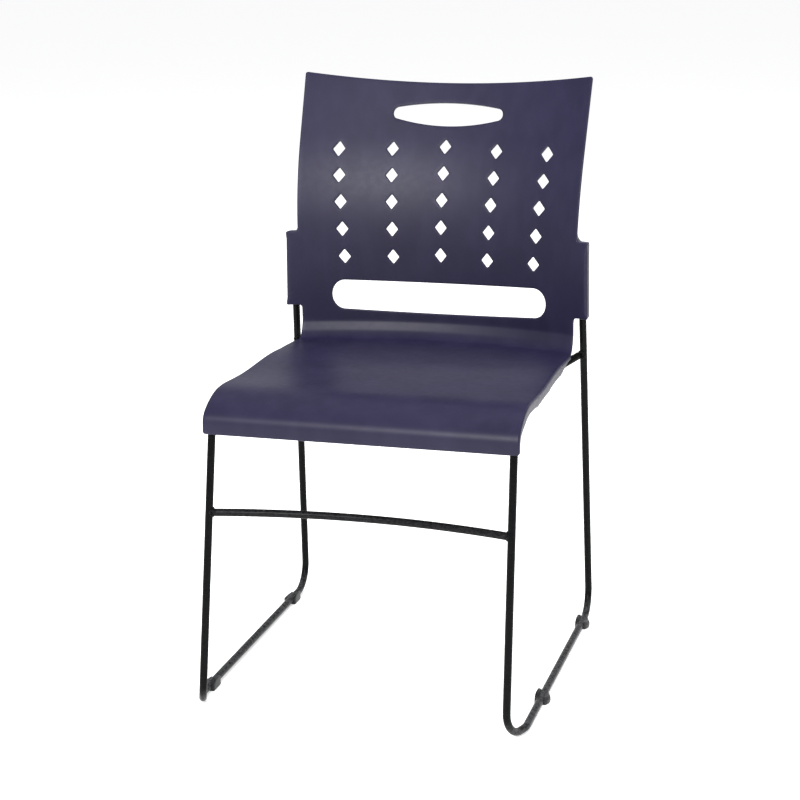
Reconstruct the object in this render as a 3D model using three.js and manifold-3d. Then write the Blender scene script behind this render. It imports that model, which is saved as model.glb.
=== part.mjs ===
// A stacking chair: a one-piece moulded seat and back on two bent steel-rod side frames.
// Millimetres. +Z is up, -Y is the front, +X is on the right of somebody facing the chair.
// The origin is on the floor, midway across the width and the depth.
import * as THREE from 'three';
import { mergeVertices } from 'three/addons/utils/BufferGeometryUtils.js';
import Module from 'manifold-3d';

const wasm = await Module();
wasm.setup();

// ---- Driving dimensions -------------------------------------------------------------------

const GAP = 0.3;                 // clearance between neighbouring pieces
const WELD_GAP = 0.8;            // root gap at a welded rod end
const SLIVER = 0.02;             // detail below this size is merged away
const SIDES = [['left', -1], ['right', 1]];

// Steel rods
const ROD_R = 5.5;               // 11 mm solid rod
const ROD_SIDES = 12;
const RUNNER_Z = 7.5;            // height of a floor runner's centre line
const RUNNER_X = 235.1;
const FLOOR_BEND_R = 31;
const HOOK_BEND_R = 22;
const SEAT_BEND_R = 33;
const SPLAY_BEND_R = 36;
const REAR_BEND_R = 38;
const BEND_STEP = Math.PI / 15;  // one facet of a bend

// Places that the right side rod is bent around, from its welded end to its top end
const RAIL_WELD = [222, 182, 427];
const RAIL_REAR = [202, 153, 418];
const LEG_TOP = [212.9, -216.4, 423.5];
const LEG_FOOT = [217.7, -283.1, RUNNER_Z];
const RUNNER_FRONT = [RUNNER_X, -236.7, RUNNER_Z];
const RUNNER_REAR = [RUNNER_X, 221.5, RUNNER_Z];
const UPRIGHT_TOP = [224.5, 173.5, 592];

// Moulded shell: side profile at the centre line, as (y, z)
const SHELL_T = 5;
const LIP_Y = -233;
const LIP_BOTTOM = 389;
const LIP_TOP = 403;
const LIP_R = 24;
const NOSE_R = 110;
const NOSE_BREAK = THREE.MathUtils.degToRad(35);
const SEAT_PITCH = 0.053;        // the seat falls this much for each mm towards the back
const CORNER_Y = 205.2;          // rear of the round corner between the seat and the back
const CORNER_R = 20;
const CORNER_END = THREE.MathUtils.degToRad(20); // it stops this much short of upright
const CROWN_TOP = [207.9, 449];  // the band under the back slot leans back to here
const LUMBAR = [206, 574];       // foremost point of the back
const BACK_BREAK = [242.2, 738]; // the back is straight above here
const BACK_TOP = [279, 821];
const BOW_R = 650;               // the back is hollow across its width
const DISH = 11;                 // the seat's sides and rear stand above its middle
const TOP_DIP = 17;              // the top corners stand above the middle of the top edge

// Where those curves across the shell grow in and fade out, in y or z
const BOW_GROWS_Y = [-140, 170];
const DISH_GROWS_Y = [-110, 90];
const DISH_LEVELS_Y = [70, 200];  // the middle rises to the height of the sides
const DISH_FADES_Z = [460, 560];
const TOP_DIP_FROM_Z = 700;

// Moulded shell: half widths
const HALF_FRONT = 223;
const HALF_SEAT_REAR = 218;
const HALF_WAIST = 214;
const HALF_SLEEVE = 218;
const HALF_TOP = 224.5;
const WAIST_GROWS_Y = [171, 199];
const SLEEVE_GROWS_Z = [474, 494];
const ACROSS = 14;               // facets across the shell
const STATION_STEP = 26;         // longest facet along the profile
const STATION_TURN = 0.2;        // most that a facet turns along the profile, in radians

// Sleeves that drop over the uprights
const SLEEVE_BOTTOM = 486;
const SLEEVE_TOP = 602;
const SLEEVE_OUT = 10.3;         // wall outside the rod's centre line
const SLEEVE_IN = 14;
const SLEEVE_FRONT = 8;          // wall in front of the rod's centre line
const SLEEVE_REAR = 10.2;
const SLEEVE_EDGE_R = 5;
const SLEEVE_CHAMFER = 2;
const SLEEVE_SCREW_Z = 520;      // a short screw behind each sleeve locks it on its upright
const SLEEVE_SCREW_LENGTH = 4.2;

// Side flanges under the seat
const FLANGE_T = 3.4;
const FLANGE_INSET = 0.1;
const FLANGE_DEPTH = 14.5;
const FLANGE_FADE = [95, 150];  // it runs out between these places
const FLANGE_START_Z = 412;      // it begins just above the front lip

// Openings in the back
const HANDLE = { z: 777.1, halfLength: 86, endR: 9, rise: 15, fall: 19, lean: 0.12 };
const SLOT = { z: 501.8, halfLength: 168.7, endLength: 20, halfHeight: 23.2, sag: 5 };
const DIAMOND = { width: 19, height: 24, blunt: 1.4 };
const DIAMOND_ROWS = [
  { z: 728.8, pitch: 81.4 },
  { z: 690, pitch: 79.8 },
  { z: 650.3, pitch: 77.7 },
  { z: 608.8, pitch: 75.9 },
  { z: 566, pitch: 74.2 },
];
const DIAMOND_DROP = 4.2;        // the outer columns sit this much below the middle one
const CUT_DEPTH = 150;           // the openings are cut through this depth of the back

// Crossbars
const FRONT_BAR_Z = 279.5;
const FRONT_BAR_BOW = 25;        // its middle is set back
const FRONT_CROSSROD_Y = -149;
const REAR_CROSSROD_Y = 101;
const REAR_CROSSROD_SAG = 8;

// Clips that hold the shell to the crossrods
const CLIP_X = 120;
const CLIP_WIDTH = 14;
const CLIP_T = 2.4;
const CLIP_LIP = 1;              // the half ring ends this much above the rod's centre
const CLIP_ROOT = 0.3;           // the tail leaves the ring this angle below its middle, in radians
const CLIP_TAIL = 26;
const CLIP_HOLE_Y = 17;
const SCREW_R = 2;
const SCREW_HEAD_R = 4;
const SCREW_HEAD_T = 2.6;
const SCREW_CROWN_R = 2.8;       // flat of the rounded head
const SCREW_SHOULDER = 1.2;      // straight side of the head
const SCREW_TIP = 1.5;
const SCREW_TIP_R = 0.6;
const SCREW_LENGTH = 9;
const BOSS_R = 6;

// Glides clipped on the runners: [rod side, end, y]
const GLIDES = [
  ['left', 'front', -203],
  ['right', 'front', -131],
  ['left', 'rear', 154],
  ['right', 'rear', 164],
];
const GLIDE_LENGTH = 26;
const GLIDE_WRAP = THREE.MathUtils.degToRad(38);
const GLIDE_LOBE = { foot: 8.5, reach: 12.4, low: -2, high: 3.6, shoulder: [7.2, 5] };
const GLIDE_FIN = { inner: -6.6, outer: -9.4, foot: -8, top: 6.5, bottom: -6 };

// Stacking bumpers on the seat rails
const BUMPER_AT = [['front', 0.4], ['rear', 0.58]];
const BUMPER_LENGTH = 24;
const BUMPER_T = 2.2;
const BUMPER_WRAP = 0.2;         // it reaches this angle above the rail's middle, in radians

// ---- Materials ----------------------------------------------------------------------------

const shellPlastic = new THREE.MeshStandardMaterial({ color: 0x4f4d64, roughness: 0.55 });
const blackSteel = new THREE.MeshStandardMaterial({ color: 0x1b1c1e, roughness: 0.45, metalness: 0.6 });
const blackPlastic = new THREE.MeshStandardMaterial({ color: 0x222326, roughness: 0.6 });
const zincSteel = new THREE.MeshStandardMaterial({ color: 0xa9abad, roughness: 0.4, metalness: 0.9 });

// ---- Small helpers ------------------------------------------------------------------------

const { clamp, lerp, mapLinear, smoothstep } = THREE.MathUtils;
const vec = (place) => new THREE.Vector3(...place);
const chair = new THREE.Group();

function addPiece(name, geometry, material) {
  const mesh = new THREE.Mesh(geometry, material);
  mesh.name = name;
  chair.add(mesh);
  return mesh;
}

function mirrored(geometry, side) {
  if (side > 0) return geometry;
  const flipped = geometry.clone().scale(-1, 1, 1);
  const bare = flipped.index ? flipped.toNonIndexed() : flipped;
  const position = bare.attributes.position;
  for (let i = 0; i < position.count; i += 3) {
    const first = new THREE.Vector3().fromBufferAttribute(position, i);
    const second = new THREE.Vector3().fromBufferAttribute(position, i + 1);
    position.setXYZ(i, second.x, second.y, second.z);
    position.setXYZ(i + 1, first.x, first.y, first.z);
  }
  return bare;
}

function toSolid(geometry) {
  const bare = geometry.clone();
  bare.deleteAttribute('normal');
  bare.deleteAttribute('uv');
  const welded = mergeVertices(bare, 1e-3);
  const mesh = new wasm.Mesh({
    numProp: 3,
    vertProperties: new Float32Array(welded.attributes.position.array),
    triVerts: new Uint32Array(welded.index.array),
  });
  return new wasm.Manifold(mesh);
}

function toGeometry(solid) {
  const mesh = solid.simplify(SLIVER).getMesh();
  const geometry = new THREE.BufferGeometry();
  geometry.setAttribute('position', new THREE.BufferAttribute(mesh.vertProperties, 3));
  geometry.setIndex(new THREE.BufferAttribute(mesh.triVerts, 1));
  return geometry;
}

function cylinderBetween(from, to, radius, sides) {
  const axis = to.clone().sub(from);
  const geometry = new THREE.CylinderGeometry(radius, radius, axis.length(), sides);
  const turn = new THREE.Quaternion();
  turn.setFromUnitVectors(new THREE.Vector3(0, 1, 0), axis.clone().normalize());
  const middle = from.clone().lerp(to, 0.5);
  return geometry.applyQuaternion(turn).translate(middle.x, middle.y, middle.z);
}

// ---- Bent rods ----------------------------------------------------------------------------

// A path through listed stations, each with its place and direction.
class StationPath extends THREE.Curve {
  constructor(stations) {
    super();
    this.stations = stations;
  }

  nearest(t) {
    return this.stations[Math.round(t * (this.stations.length - 1))];
  }

  getPoint(t, target = new THREE.Vector3()) {
    return target.copy(this.nearest(t).place);
  }

  getPointAt(t, target) {
    return this.getPoint(t, target);
  }

  getTangentAt(t, target = new THREE.Vector3()) {
    return target.copy(this.nearest(t).direction);
  }
}

// Stations round one corner of a bent rod: from the bend's start to its end.
function bendStations(before, corner, after, radius) {
  const inward = corner.clone().sub(before).normalize();
  const outward = after.clone().sub(corner).normalize();
  const turn = inward.angleTo(outward);
  const setback = radius * Math.tan(turn / 2);
  const start = corner.clone().addScaledVector(inward, -setback);
  const towardsCentre = outward.clone().addScaledVector(inward, -inward.dot(outward)).normalize();
  const centre = start.clone().addScaledVector(towardsCentre, radius);
  const count = Math.max(2, Math.ceil(turn / BEND_STEP));
  return Array.from({ length: count + 1 }, (_, i) => {
    const angle = turn * i / count;
    const place = centre.clone()
      .addScaledVector(towardsCentre, -radius * Math.cos(angle))
      .addScaledVector(inward, radius * Math.sin(angle));
    const direction = inward.clone().multiplyScalar(Math.cos(angle))
      .addScaledVector(towardsCentre, Math.sin(angle));
    return { place, direction };
  });
}

// Stations along straight runs joined by round bends, one radius for each inner corner.
function bentPath(corners, radii) {
  const last = corners.length - 1;
  const direction = (a, b) => corners[b].clone().sub(corners[a]).normalize();
  const stations = [{ place: corners[0], direction: direction(0, 1) }];
  for (let i = 1; i < last; i++) {
    stations.push(...bendStations(corners[i - 1], corners[i], corners[i + 1], radii[i - 1]));
  }
  stations.push({ place: corners[last], direction: direction(last - 1, last) });
  return stations;
}

// Stations along a shallow bow between two ends; middle is the bow's furthest point.
function bowedPath(from, middle, to, count) {
  const control = middle.clone().multiplyScalar(2).sub(from.clone().lerp(to, 0.5));
  const bow = new THREE.QuadraticBezierCurve3(from, control, to);
  return Array.from({ length: count + 1 }, (_, i) => ({
    place: bow.getPoint(i / count),
    direction: bow.getTangent(i / count),
  }));
}

function rodGeometry(stations, radius = ROD_R) {
  const section = new THREE.Shape().absarc(0, 0, radius, 0, 2 * Math.PI);
  return new THREE.ExtrudeGeometry(section, {
    curveSegments: ROD_SIDES / 2,
    steps: stations.length - 1,
    extrudePath: new StationPath(stations),
    bevelEnabled: false,
  });
}

function sideRodCorners() {
  return [RAIL_WELD, RAIL_REAR, LEG_TOP, LEG_FOOT, RUNNER_FRONT, RUNNER_REAR, UPRIGHT_TOP].map(vec);
}

const SIDE_ROD_BENDS = [HOOK_BEND_R, SEAT_BEND_R, FLOOR_BEND_R, SPLAY_BEND_R, REAR_BEND_R];

// Centre of a straight run of the right side rod where it crosses a given y or z.
function onRun(from, to, axis, value) {
  const a = vec(from);
  const b = vec(to);
  return a.clone().lerp(b, (value - a[axis]) / (b[axis] - a[axis]));
}

const railAt = (y) => onRun(LEG_TOP, RAIL_REAR, 'y', y);
const legAt = (z) => onRun(LEG_FOOT, LEG_TOP, 'z', z);
const uprightAt = (z) => onRun(RUNNER_REAR, UPRIGHT_TOP, 'z', z);

function addSideRods() {
  const geometry = rodGeometry(bentPath(sideRodCorners(), SIDE_ROD_BENDS));
  for (const [name, side] of SIDES) {
    addPiece(`${name}_side_rod`, mirrored(geometry, side), blackSteel);
  }
}

function addCrossbar(name, end, bow, facets) {
  const reach = end.clone().setX(end.x - ROD_R - WELD_GAP);
  const opposite = reach.clone().setX(-reach.x);
  const middle = bow.clone().add(reach).setX(0);
  addPiece(name, rodGeometry(bowedPath(opposite, middle, reach, facets)), blackSteel);
}

function addCrossbars() {
  addCrossbar('front_crossbar', legAt(FRONT_BAR_Z), new THREE.Vector3(0, FRONT_BAR_BOW, 0), 12);
  addCrossbar('front_seat_crossrod', railAt(FRONT_CROSSROD_Y), new THREE.Vector3(), 2);
  addCrossbar('rear_seat_crossrod', railAt(REAR_CROSSROD_Y), new THREE.Vector3(0, 0, -REAR_CROSSROD_SAG), 8);
}

const rearCrossrodDrop = (x) => REAR_CROSSROD_SAG * (1 - (x / railAt(REAR_CROSSROD_Y).x) ** 2);

// ---- Moulded shell ------------------------------------------------------------------------

// The side profile's upper and front face, from the front lip to the top of the back.
function shellProfile() {
  const path = new THREE.Path();
  const lipCentre = [LIP_Y + LIP_R, LIP_TOP];
  const noseCentre = [
    lipCentre[0] + (NOSE_R - LIP_R) * Math.sin(NOSE_BREAK),
    lipCentre[1] - (NOSE_R - LIP_R) * Math.cos(NOSE_BREAK),
  ];
  const upright = Math.PI / 2;
  const pitch = Math.atan(SEAT_PITCH);
  const seatStart = [noseCentre[0] + NOSE_R * Math.sin(pitch), noseCentre[1] + NOSE_R * Math.cos(pitch)];
  const cornerCentreY = CORNER_Y - CORNER_R;
  const seatEndY = cornerCentreY - CORNER_R * Math.sin(pitch);
  const seatEndZ = seatStart[1] - SEAT_PITCH * (seatEndY - seatStart[0]);
  const cornerCentreZ = seatEndZ + CORNER_R * Math.cos(pitch);
  path.moveTo(LIP_Y, LIP_BOTTOM);
  path.lineTo(LIP_Y, LIP_TOP);
  path.absarc(...lipCentre, LIP_R, Math.PI, upright + NOSE_BREAK, true);
  path.absarc(...noseCentre, NOSE_R, upright + NOSE_BREAK, upright - pitch, true);
  path.lineTo(seatEndY, seatEndZ);
  path.absarc(cornerCentreY, cornerCentreZ, CORNER_R, -upright - pitch, -CORNER_END, false);
  path.lineTo(...CROWN_TOP);
  path.quadraticCurveTo(LUMBAR[0], lerp(CROWN_TOP[1], LUMBAR[1], 0.5), ...LUMBAR);
  path.quadraticCurveTo(LUMBAR[0], lerp(LUMBAR[1], BACK_BREAK[1], 0.5), ...BACK_BREAK);
  path.lineTo(...BACK_TOP);
  return path;
}

// Stations along the profile: more on its tight bends, with the face's outward normal.
function profileStations() {
  const stations = [];
  const place = (curve, t) => {
    const point = curve.getPoint(t);
    const tangent = curve.getTangent(t);
    stations.push({ y: point.x, z: point.y, ny: -tangent.y, nz: tangent.x });
  };
  const curves = shellProfile().curves.filter((curve) => curve.getLength() > SLIVER);
  curves.forEach((curve, index) => {
    const turn = curve.getTangent(0).angleTo(curve.getTangent(1));
    const count = Math.ceil(Math.max(curve.getLength() / STATION_STEP, turn / STATION_TURN));
    for (let i = 0; i < count; i++) place(curve, i / count);
    if (index === curves.length - 1) place(curve, 1);
  });
  return stations;
}

const STATIONS = profileStations();

function halfWidth(y, z) {
  if (z > SLEEVE_TOP) return mapLinear(z, SLEEVE_TOP, BACK_TOP[1], HALF_SLEEVE, HALF_TOP);
  if (z > CROWN_TOP[1]) return lerp(HALF_WAIST, HALF_SLEEVE, smoothstep(z, ...SLEEVE_GROWS_Z));
  const rear = WAIST_GROWS_Y[0];
  const seat = mapLinear(clamp(y, LIP_Y, rear), LIP_Y, rear, HALF_FRONT, HALF_SEAT_REAR);
  return lerp(seat, HALF_WAIST, smoothstep(y, ...WAIST_GROWS_Y));
}

// A point of the shell: across runs from -1 to 1, depth goes from the face into the wall.
function shellPoint(station, across, depth) {
  const { y, z, ny, nz } = station;
  const x = across * halfWidth(y, z);
  const edge = across * across;
  const bow = smoothstep(y, ...BOW_GROWS_Y) * x * x / (2 * BOW_R);
  const hollow = lerp(edge, 1, smoothstep(y, ...DISH_LEVELS_Y));
  const dish = DISH * hollow * smoothstep(y, ...DISH_GROWS_Y) * (1 - smoothstep(z, ...DISH_FADES_Z));
  const lift = TOP_DIP * edge * smoothstep(z, TOP_DIP_FROM_Z, BACK_TOP[1]);
  const slope = (BACK_TOP[0] - BACK_BREAK[0]) / (BACK_TOP[1] - BACK_BREAK[1]);
  return new THREE.Vector3(x, y - bow + slope * lift - depth * ny, z + dish + lift - depth * nz);
}

// A box whose vertices are handed to a function of (across, station index, through).
function bentSlab(acrossFacets, stations, bend) {
  const slab = new THREE.BoxGeometry(2, 1, 1, acrossFacets, stations.length - 1, 1);
  const position = slab.attributes.position;
  for (let i = 0; i < position.count; i++) {
    const along = Math.round((position.getY(i) + 0.5) * (stations.length - 1));
    const point = bend(position.getX(i), stations[along], position.getZ(i) + 0.5);
    position.setXYZ(i, point.x, point.y, point.z);
  }
  return slab;
}

function shellSheet() {
  return toSolid(bentSlab(ACROSS, STATIONS, (across, station, through) => (
    shellPoint(station, across, SHELL_T * (1 - through)))));
}

function flangeDepth(y) {
  return mapLinear(clamp(y, ...FLANGE_FADE), ...FLANGE_FADE, FLANGE_DEPTH, SHELL_T);
}

// The flange below the right edge of the seat.
function sideFlange() {
  const underSeat = STATIONS.filter(({ y, z }) => z > FLANGE_START_Z && y < FLANGE_FADE[1]);
  return bentSlab(1, underSeat, (across, station, through) => {
    const edge = shellPoint(station, 1, SHELL_T / 2);
    const drop = through > 0.5 ? 0 : flangeDepth(station.y) - SHELL_T / 2;
    const inset = FLANGE_INSET + FLANGE_T * (1 - across) / 2;
    return new THREE.Vector3(edge.x - inset, edge.y, edge.z - drop);
  });
}

function roundedRectangle(left, right, front, rear, radius) {
  const shape = new THREE.Shape();
  shape.absarc(right - radius, rear - radius, radius, 0, Math.PI / 2);
  shape.absarc(left + radius, rear - radius, radius, Math.PI / 2, Math.PI);
  shape.absarc(left + radius, front + radius, radius, Math.PI, 1.5 * Math.PI);
  shape.absarc(right - radius, front + radius, radius, 1.5 * Math.PI, 2 * Math.PI);
  return shape;
}

// Turns something built along +Z from the origin so that it follows the upright from a height.
function alongUpright(geometry, z) {
  const axis = vec(UPRIGHT_TOP).sub(vec(RUNNER_REAR)).normalize();
  const turn = new THREE.Quaternion().setFromUnitVectors(new THREE.Vector3(0, 0, 1), axis);
  return geometry.applyQuaternion(turn).translate(...uprightAt(z).toArray());
}

function sleeveBody() {
  const section = roundedRectangle(
    SLEEVE_CHAMFER - SLEEVE_IN, SLEEVE_OUT - SLEEVE_CHAMFER,
    SLEEVE_CHAMFER - SLEEVE_FRONT, SLEEVE_REAR - SLEEVE_CHAMFER, SLEEVE_EDGE_R - SLEEVE_CHAMFER);
  const body = new THREE.ExtrudeGeometry(section, {
    depth: SLEEVE_TOP - SLEEVE_BOTTOM - 2 * SLEEVE_CHAMFER,
    curveSegments: 3,
    bevelThickness: SLEEVE_CHAMFER,
    bevelSize: SLEEVE_CHAMFER,
    bevelSegments: 1,
  });
  return alongUpright(body.translate(0, 0, SLEEVE_CHAMFER), SLEEVE_BOTTOM);
}

// The bore starts well below the sleeve and ends just above the rod's top end.
function sleeveBore() {
  const below = new THREE.Vector3(0, 0, -20);
  const end = new THREE.Vector3(0, 0, UPRIGHT_TOP[2] - SLEEVE_BOTTOM + 2);
  return alongUpright(cylinderBetween(below, end, ROD_R + GAP, ROD_SIDES * 2), SLEEVE_BOTTOM);
}

// An outline in the x-z plane, cut through the back from front to rear.
function cutter(outline, curveSegments) {
  const settings = { depth: CUT_DEPTH, curveSegments, bevelEnabled: false };
  const geometry = new THREE.ExtrudeGeometry(outline, settings);
  return toSolid(geometry.rotateX(Math.PI / 2).translate(0, BACK_TOP[0] + SHELL_T, 0));
}

function handleOutline() {
  const { z, halfLength, endR, rise, fall, lean } = HANDLE;
  const endX = halfLength - endR;
  const shape = new THREE.Shape();
  shape.absarc(-endX, z, endR, Math.PI / 2 + lean, 1.5 * Math.PI - lean, false);
  shape.quadraticCurveTo(0, z - 2 * fall + endR, endX - endR * Math.sin(lean), z - endR * Math.cos(lean));
  shape.absarc(endX, z, endR, lean - Math.PI / 2, Math.PI / 2 - lean, false);
  shape.quadraticCurveTo(0, z + 2 * rise - endR, -endX - endR * Math.sin(lean), z + endR * Math.cos(lean));
  return shape;
}

function slotOutline() {
  const { z, halfLength, endLength, halfHeight, sag } = SLOT;
  const endX = halfLength - endLength;
  const shape = new THREE.Shape();
  shape.absellipse(-endX, z, endLength, halfHeight, Math.PI / 2, 1.5 * Math.PI, false, 0);
  shape.quadraticCurveTo(0, z - halfHeight - 2 * sag, endX, z - halfHeight);
  shape.absellipse(endX, z, endLength, halfHeight, -Math.PI / 2, Math.PI / 2, false, 0);
  shape.quadraticCurveTo(0, z + halfHeight - sag, -endX, z + halfHeight);
  return shape;
}

// A diamond with blunt corners.
function diamondOutline(x, z, height) {
  const { width, blunt } = DIAMOND;
  const w = width / 2;
  const h = height / 2;
  const points = [
    [w, -blunt], [w, blunt], [blunt, h], [-blunt, h], [-w, blunt], [-w, -blunt], [-blunt, -h], [blunt, -h],
  ];
  return new THREE.Shape(points.map(([dx, dz]) => new THREE.Vector2(x + dx, z + dz)));
}

function backSlope(z) {
  const steepest = (BACK_TOP[0] - BACK_BREAK[0]) / (BACK_TOP[1] - BACK_BREAK[1]);
  return steepest * clamp((z - LUMBAR[1]) / (BACK_BREAK[1] - LUMBAR[1]), 0, 1);
}

function backOpenings() {
  let cut = cutter(handleOutline(), 8).add(cutter(slotOutline(), 6));
  for (const { z, pitch } of DIAMOND_ROWS) {
    const height = DIAMOND.height * Math.cos(Math.atan(backSlope(z)));
    for (let column = -2; column <= 2; column++) {
      const middle = column === 0 ? z : z - DIAMOND_DROP;
      cut = cut.add(cutter(diamondOutline(column * pitch, middle, height), 1));
    }
  }
  return cut;
}

// ---- Clips, their screws and bosses ---------------------------------------------------------

// Each clip sits under a crossrod; its tail is screwed up into a boss behind the rod.
function clipPlaces() {
  const front = railAt(FRONT_CROSSROD_Y);
  const rear = railAt(REAR_CROSSROD_Y);
  return SIDES.flatMap(([name, side]) => [
    { name: `${name}_front`, x: side * CLIP_X, y: front.y, z: front.z },
    { name: `${name}_rear`, x: side * CLIP_X, y: rear.y, z: rear.z - rearCrossrodDrop(CLIP_X) },
  ]);
}

const tailBottom = -(ROD_R + GAP + CLIP_T) * Math.sin(CLIP_ROOT);

// Side view of a clip around a rod at the origin: a half ring below the rod and a flat tail.
function clipOutline() {
  const inner = ROD_R + GAP;
  const outer = inner + CLIP_T;
  const shape = new THREE.Shape();
  shape.moveTo(-outer, CLIP_LIP);
  shape.lineTo(-outer, 0);
  shape.absarc(0, 0, outer, Math.PI, 2 * Math.PI - CLIP_ROOT, false);
  shape.lineTo(CLIP_TAIL, tailBottom);
  shape.lineTo(CLIP_TAIL, 0);
  shape.lineTo(inner, 0);
  shape.absarc(0, 0, inner, 0, -Math.PI, true);
  shape.lineTo(-inner, CLIP_LIP);
  return shape;
}

function addClips() {
  const clip = new THREE.ExtrudeGeometry(clipOutline(), {
    depth: CLIP_WIDTH,
    curveSegments: 6,
    bevelEnabled: false,
  });
  clip.applyMatrix4(new THREE.Matrix4().makeBasis(
    new THREE.Vector3(0, 1, 0), new THREE.Vector3(0, 0, 1), new THREE.Vector3(1, 0, 0)));
  clip.translate(-CLIP_WIDTH / 2, 0, 0);
  const below = new THREE.Vector3(0, CLIP_HOLE_Y, -CLIP_HOLE_Y);
  const above = new THREE.Vector3(0, CLIP_HOLE_Y, CLIP_HOLE_Y);
  const hole = cylinderBetween(below, above, SCREW_R + GAP, 12);
  const drilled = toGeometry(toSolid(clip).subtract(toSolid(hole)));
  for (const { name, x, y, z } of clipPlaces()) {
    addPiece(`${name}_shell_clip`, drilled, blackPlastic).position.set(x, y, z);
    const screw = addPiece(`${name}_clip_screw`, panScrew(SCREW_LENGTH), zincSteel);
    screw.position.set(x, y + CLIP_HOLE_Y, z + tailBottom - GAP);
  }
}

// A pan-head screw pointing up +Z with its head's seat at the origin.
function panScrew(length) {
  const profile = [
    [0, -SCREW_HEAD_T], [SCREW_CROWN_R, -SCREW_HEAD_T], [SCREW_HEAD_R, -SCREW_SHOULDER],
    [SCREW_HEAD_R, 0], [SCREW_R, 0], [SCREW_R, length - SCREW_TIP], [SCREW_TIP_R, length], [0, length],
  ];
  const outline = profile.map(([radius, height]) => new THREE.Vector2(radius, height));
  return new THREE.LatheGeometry(outline, 12).rotateX(Math.PI / 2);
}

function bosses() {
  return clipPlaces().map(({ x, y, z }) => {
    const foot = new THREE.Vector3(x, y + CLIP_HOLE_Y, z + GAP);
    const top = foot.clone().setZ(underside(foot) + SHELL_T / 2);
    return toSolid(cylinderBetween(foot, top, BOSS_R, 16));
  });
}

function bossHoles() {
  return clipPlaces().map(({ x, y, z }) => {
    const mouth = new THREE.Vector3(x, y + CLIP_HOLE_Y, z - CLIP_WIDTH);
    const end = mouth.clone().setZ(z + tailBottom + SCREW_LENGTH + 1);
    return toSolid(cylinderBetween(mouth, end, SCREW_R + GAP, 12));
  });
}

// Height of the seat's underside directly above a place.
function underside({ x, y }) {
  const seat = STATIONS.filter((station) => station.y < CORNER_Y - CORNER_R);
  const across = x / HALF_SEAT_REAR;
  const points = seat.map((station) => shellPoint(station, across, SHELL_T));
  const next = points.findIndex((point) => point.y > y);
  const [a, b] = [points[next - 1], points[next]];
  return lerp(a.z, b.z, (y - a.y) / (b.y - a.y));
}

// ---- Screws that lock the shell on the uprights ------------------------------------------------

function addSleeveScrews() {
  const screw = panScrew(SLEEVE_SCREW_LENGTH).rotateX(Math.PI / 2).translate(0, SLEEVE_REAR + GAP, 0);
  const placed = alongUpright(screw, SLEEVE_SCREW_Z);
  for (const [name, side] of SIDES) {
    addPiece(`${name}_sleeve_screw`, mirrored(placed, side), zincSteel);
  }
}

function sleeveScrewHole() {
  const outside = new THREE.Vector3(0, 2 * SLEEVE_REAR, 0);
  return alongUpright(cylinderBetween(new THREE.Vector3(), outside, SCREW_R + GAP, 12), SLEEVE_SCREW_Z);
}

function addShell() {
  let shell = shellSheet();
  const additions = [sideFlange(), sleeveBody()];
  const cuts = [sleeveBore(), sleeveScrewHole()];
  for (const [, side] of SIDES) {
    for (const piece of additions) shell = shell.add(toSolid(mirrored(piece, side)));
  }
  for (const boss of bosses()) shell = shell.add(boss);
  for (const [, side] of SIDES) {
    for (const piece of cuts) shell = shell.subtract(toSolid(mirrored(piece, side)));
  }
  for (const hole of bossHoles()) shell = shell.subtract(hole);
  shell = shell.subtract(backOpenings());
  addPiece('seat_back_shell', toGeometry(shell), shellPlastic);
}

// ---- Glides and bumpers -------------------------------------------------------------------

// Section of the right glide with the rod's centre at (0, 0): a flat sole, a round lobe
// on the outer side, a thin fin on the inner side and a channel that grips the rod.
function glideOutline() {
  const grip = ROD_R + GAP;
  const sole = -RUNNER_Z;
  const { foot, reach, low, high, shoulder } = GLIDE_LOBE;
  const shape = new THREE.Shape();
  shape.moveTo(GLIDE_FIN.foot, sole);
  shape.lineTo(foot, sole);
  shape.quadraticCurveTo(reach, sole, reach, low);
  shape.quadraticCurveTo(reach, high, ...shoulder);
  shape.lineTo(grip * Math.cos(GLIDE_WRAP), grip * Math.sin(GLIDE_WRAP));
  shape.absarc(0, 0, grip, GLIDE_WRAP, Math.PI - GLIDE_WRAP, true);
  shape.lineTo(GLIDE_FIN.inner, GLIDE_FIN.top);
  shape.lineTo(GLIDE_FIN.outer, GLIDE_FIN.top);
  shape.lineTo(GLIDE_FIN.outer, GLIDE_FIN.bottom);
  return shape;
}

function addGlides() {
  const glide = new THREE.ExtrudeGeometry(glideOutline(), {
    depth: GLIDE_LENGTH,
    curveSegments: 8,
    bevelEnabled: false,
  });
  glide.rotateX(Math.PI / 2).translate(RUNNER_X, GLIDE_LENGTH / 2, RUNNER_Z);
  for (const [rod, end, y] of GLIDES) {
    const side = rod === 'left' ? -1 : 1;
    addPiece(`${rod}_${end}_glide`, mirrored(glide, side), blackPlastic).position.y = y;
  }
}

// Section of a bumper: a saddle below the rail that snaps over its sides.
function bumperOutline() {
  const grip = ROD_R + GAP;
  const outer = grip + BUMPER_T;
  const shape = new THREE.Shape();
  shape.absarc(0, 0, outer, BUMPER_WRAP, Math.PI - BUMPER_WRAP, true);
  shape.lineTo(-grip * Math.cos(BUMPER_WRAP), grip * Math.sin(BUMPER_WRAP));
  shape.absarc(0, 0, grip, Math.PI - BUMPER_WRAP, BUMPER_WRAP, false);
  return shape;
}

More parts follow.
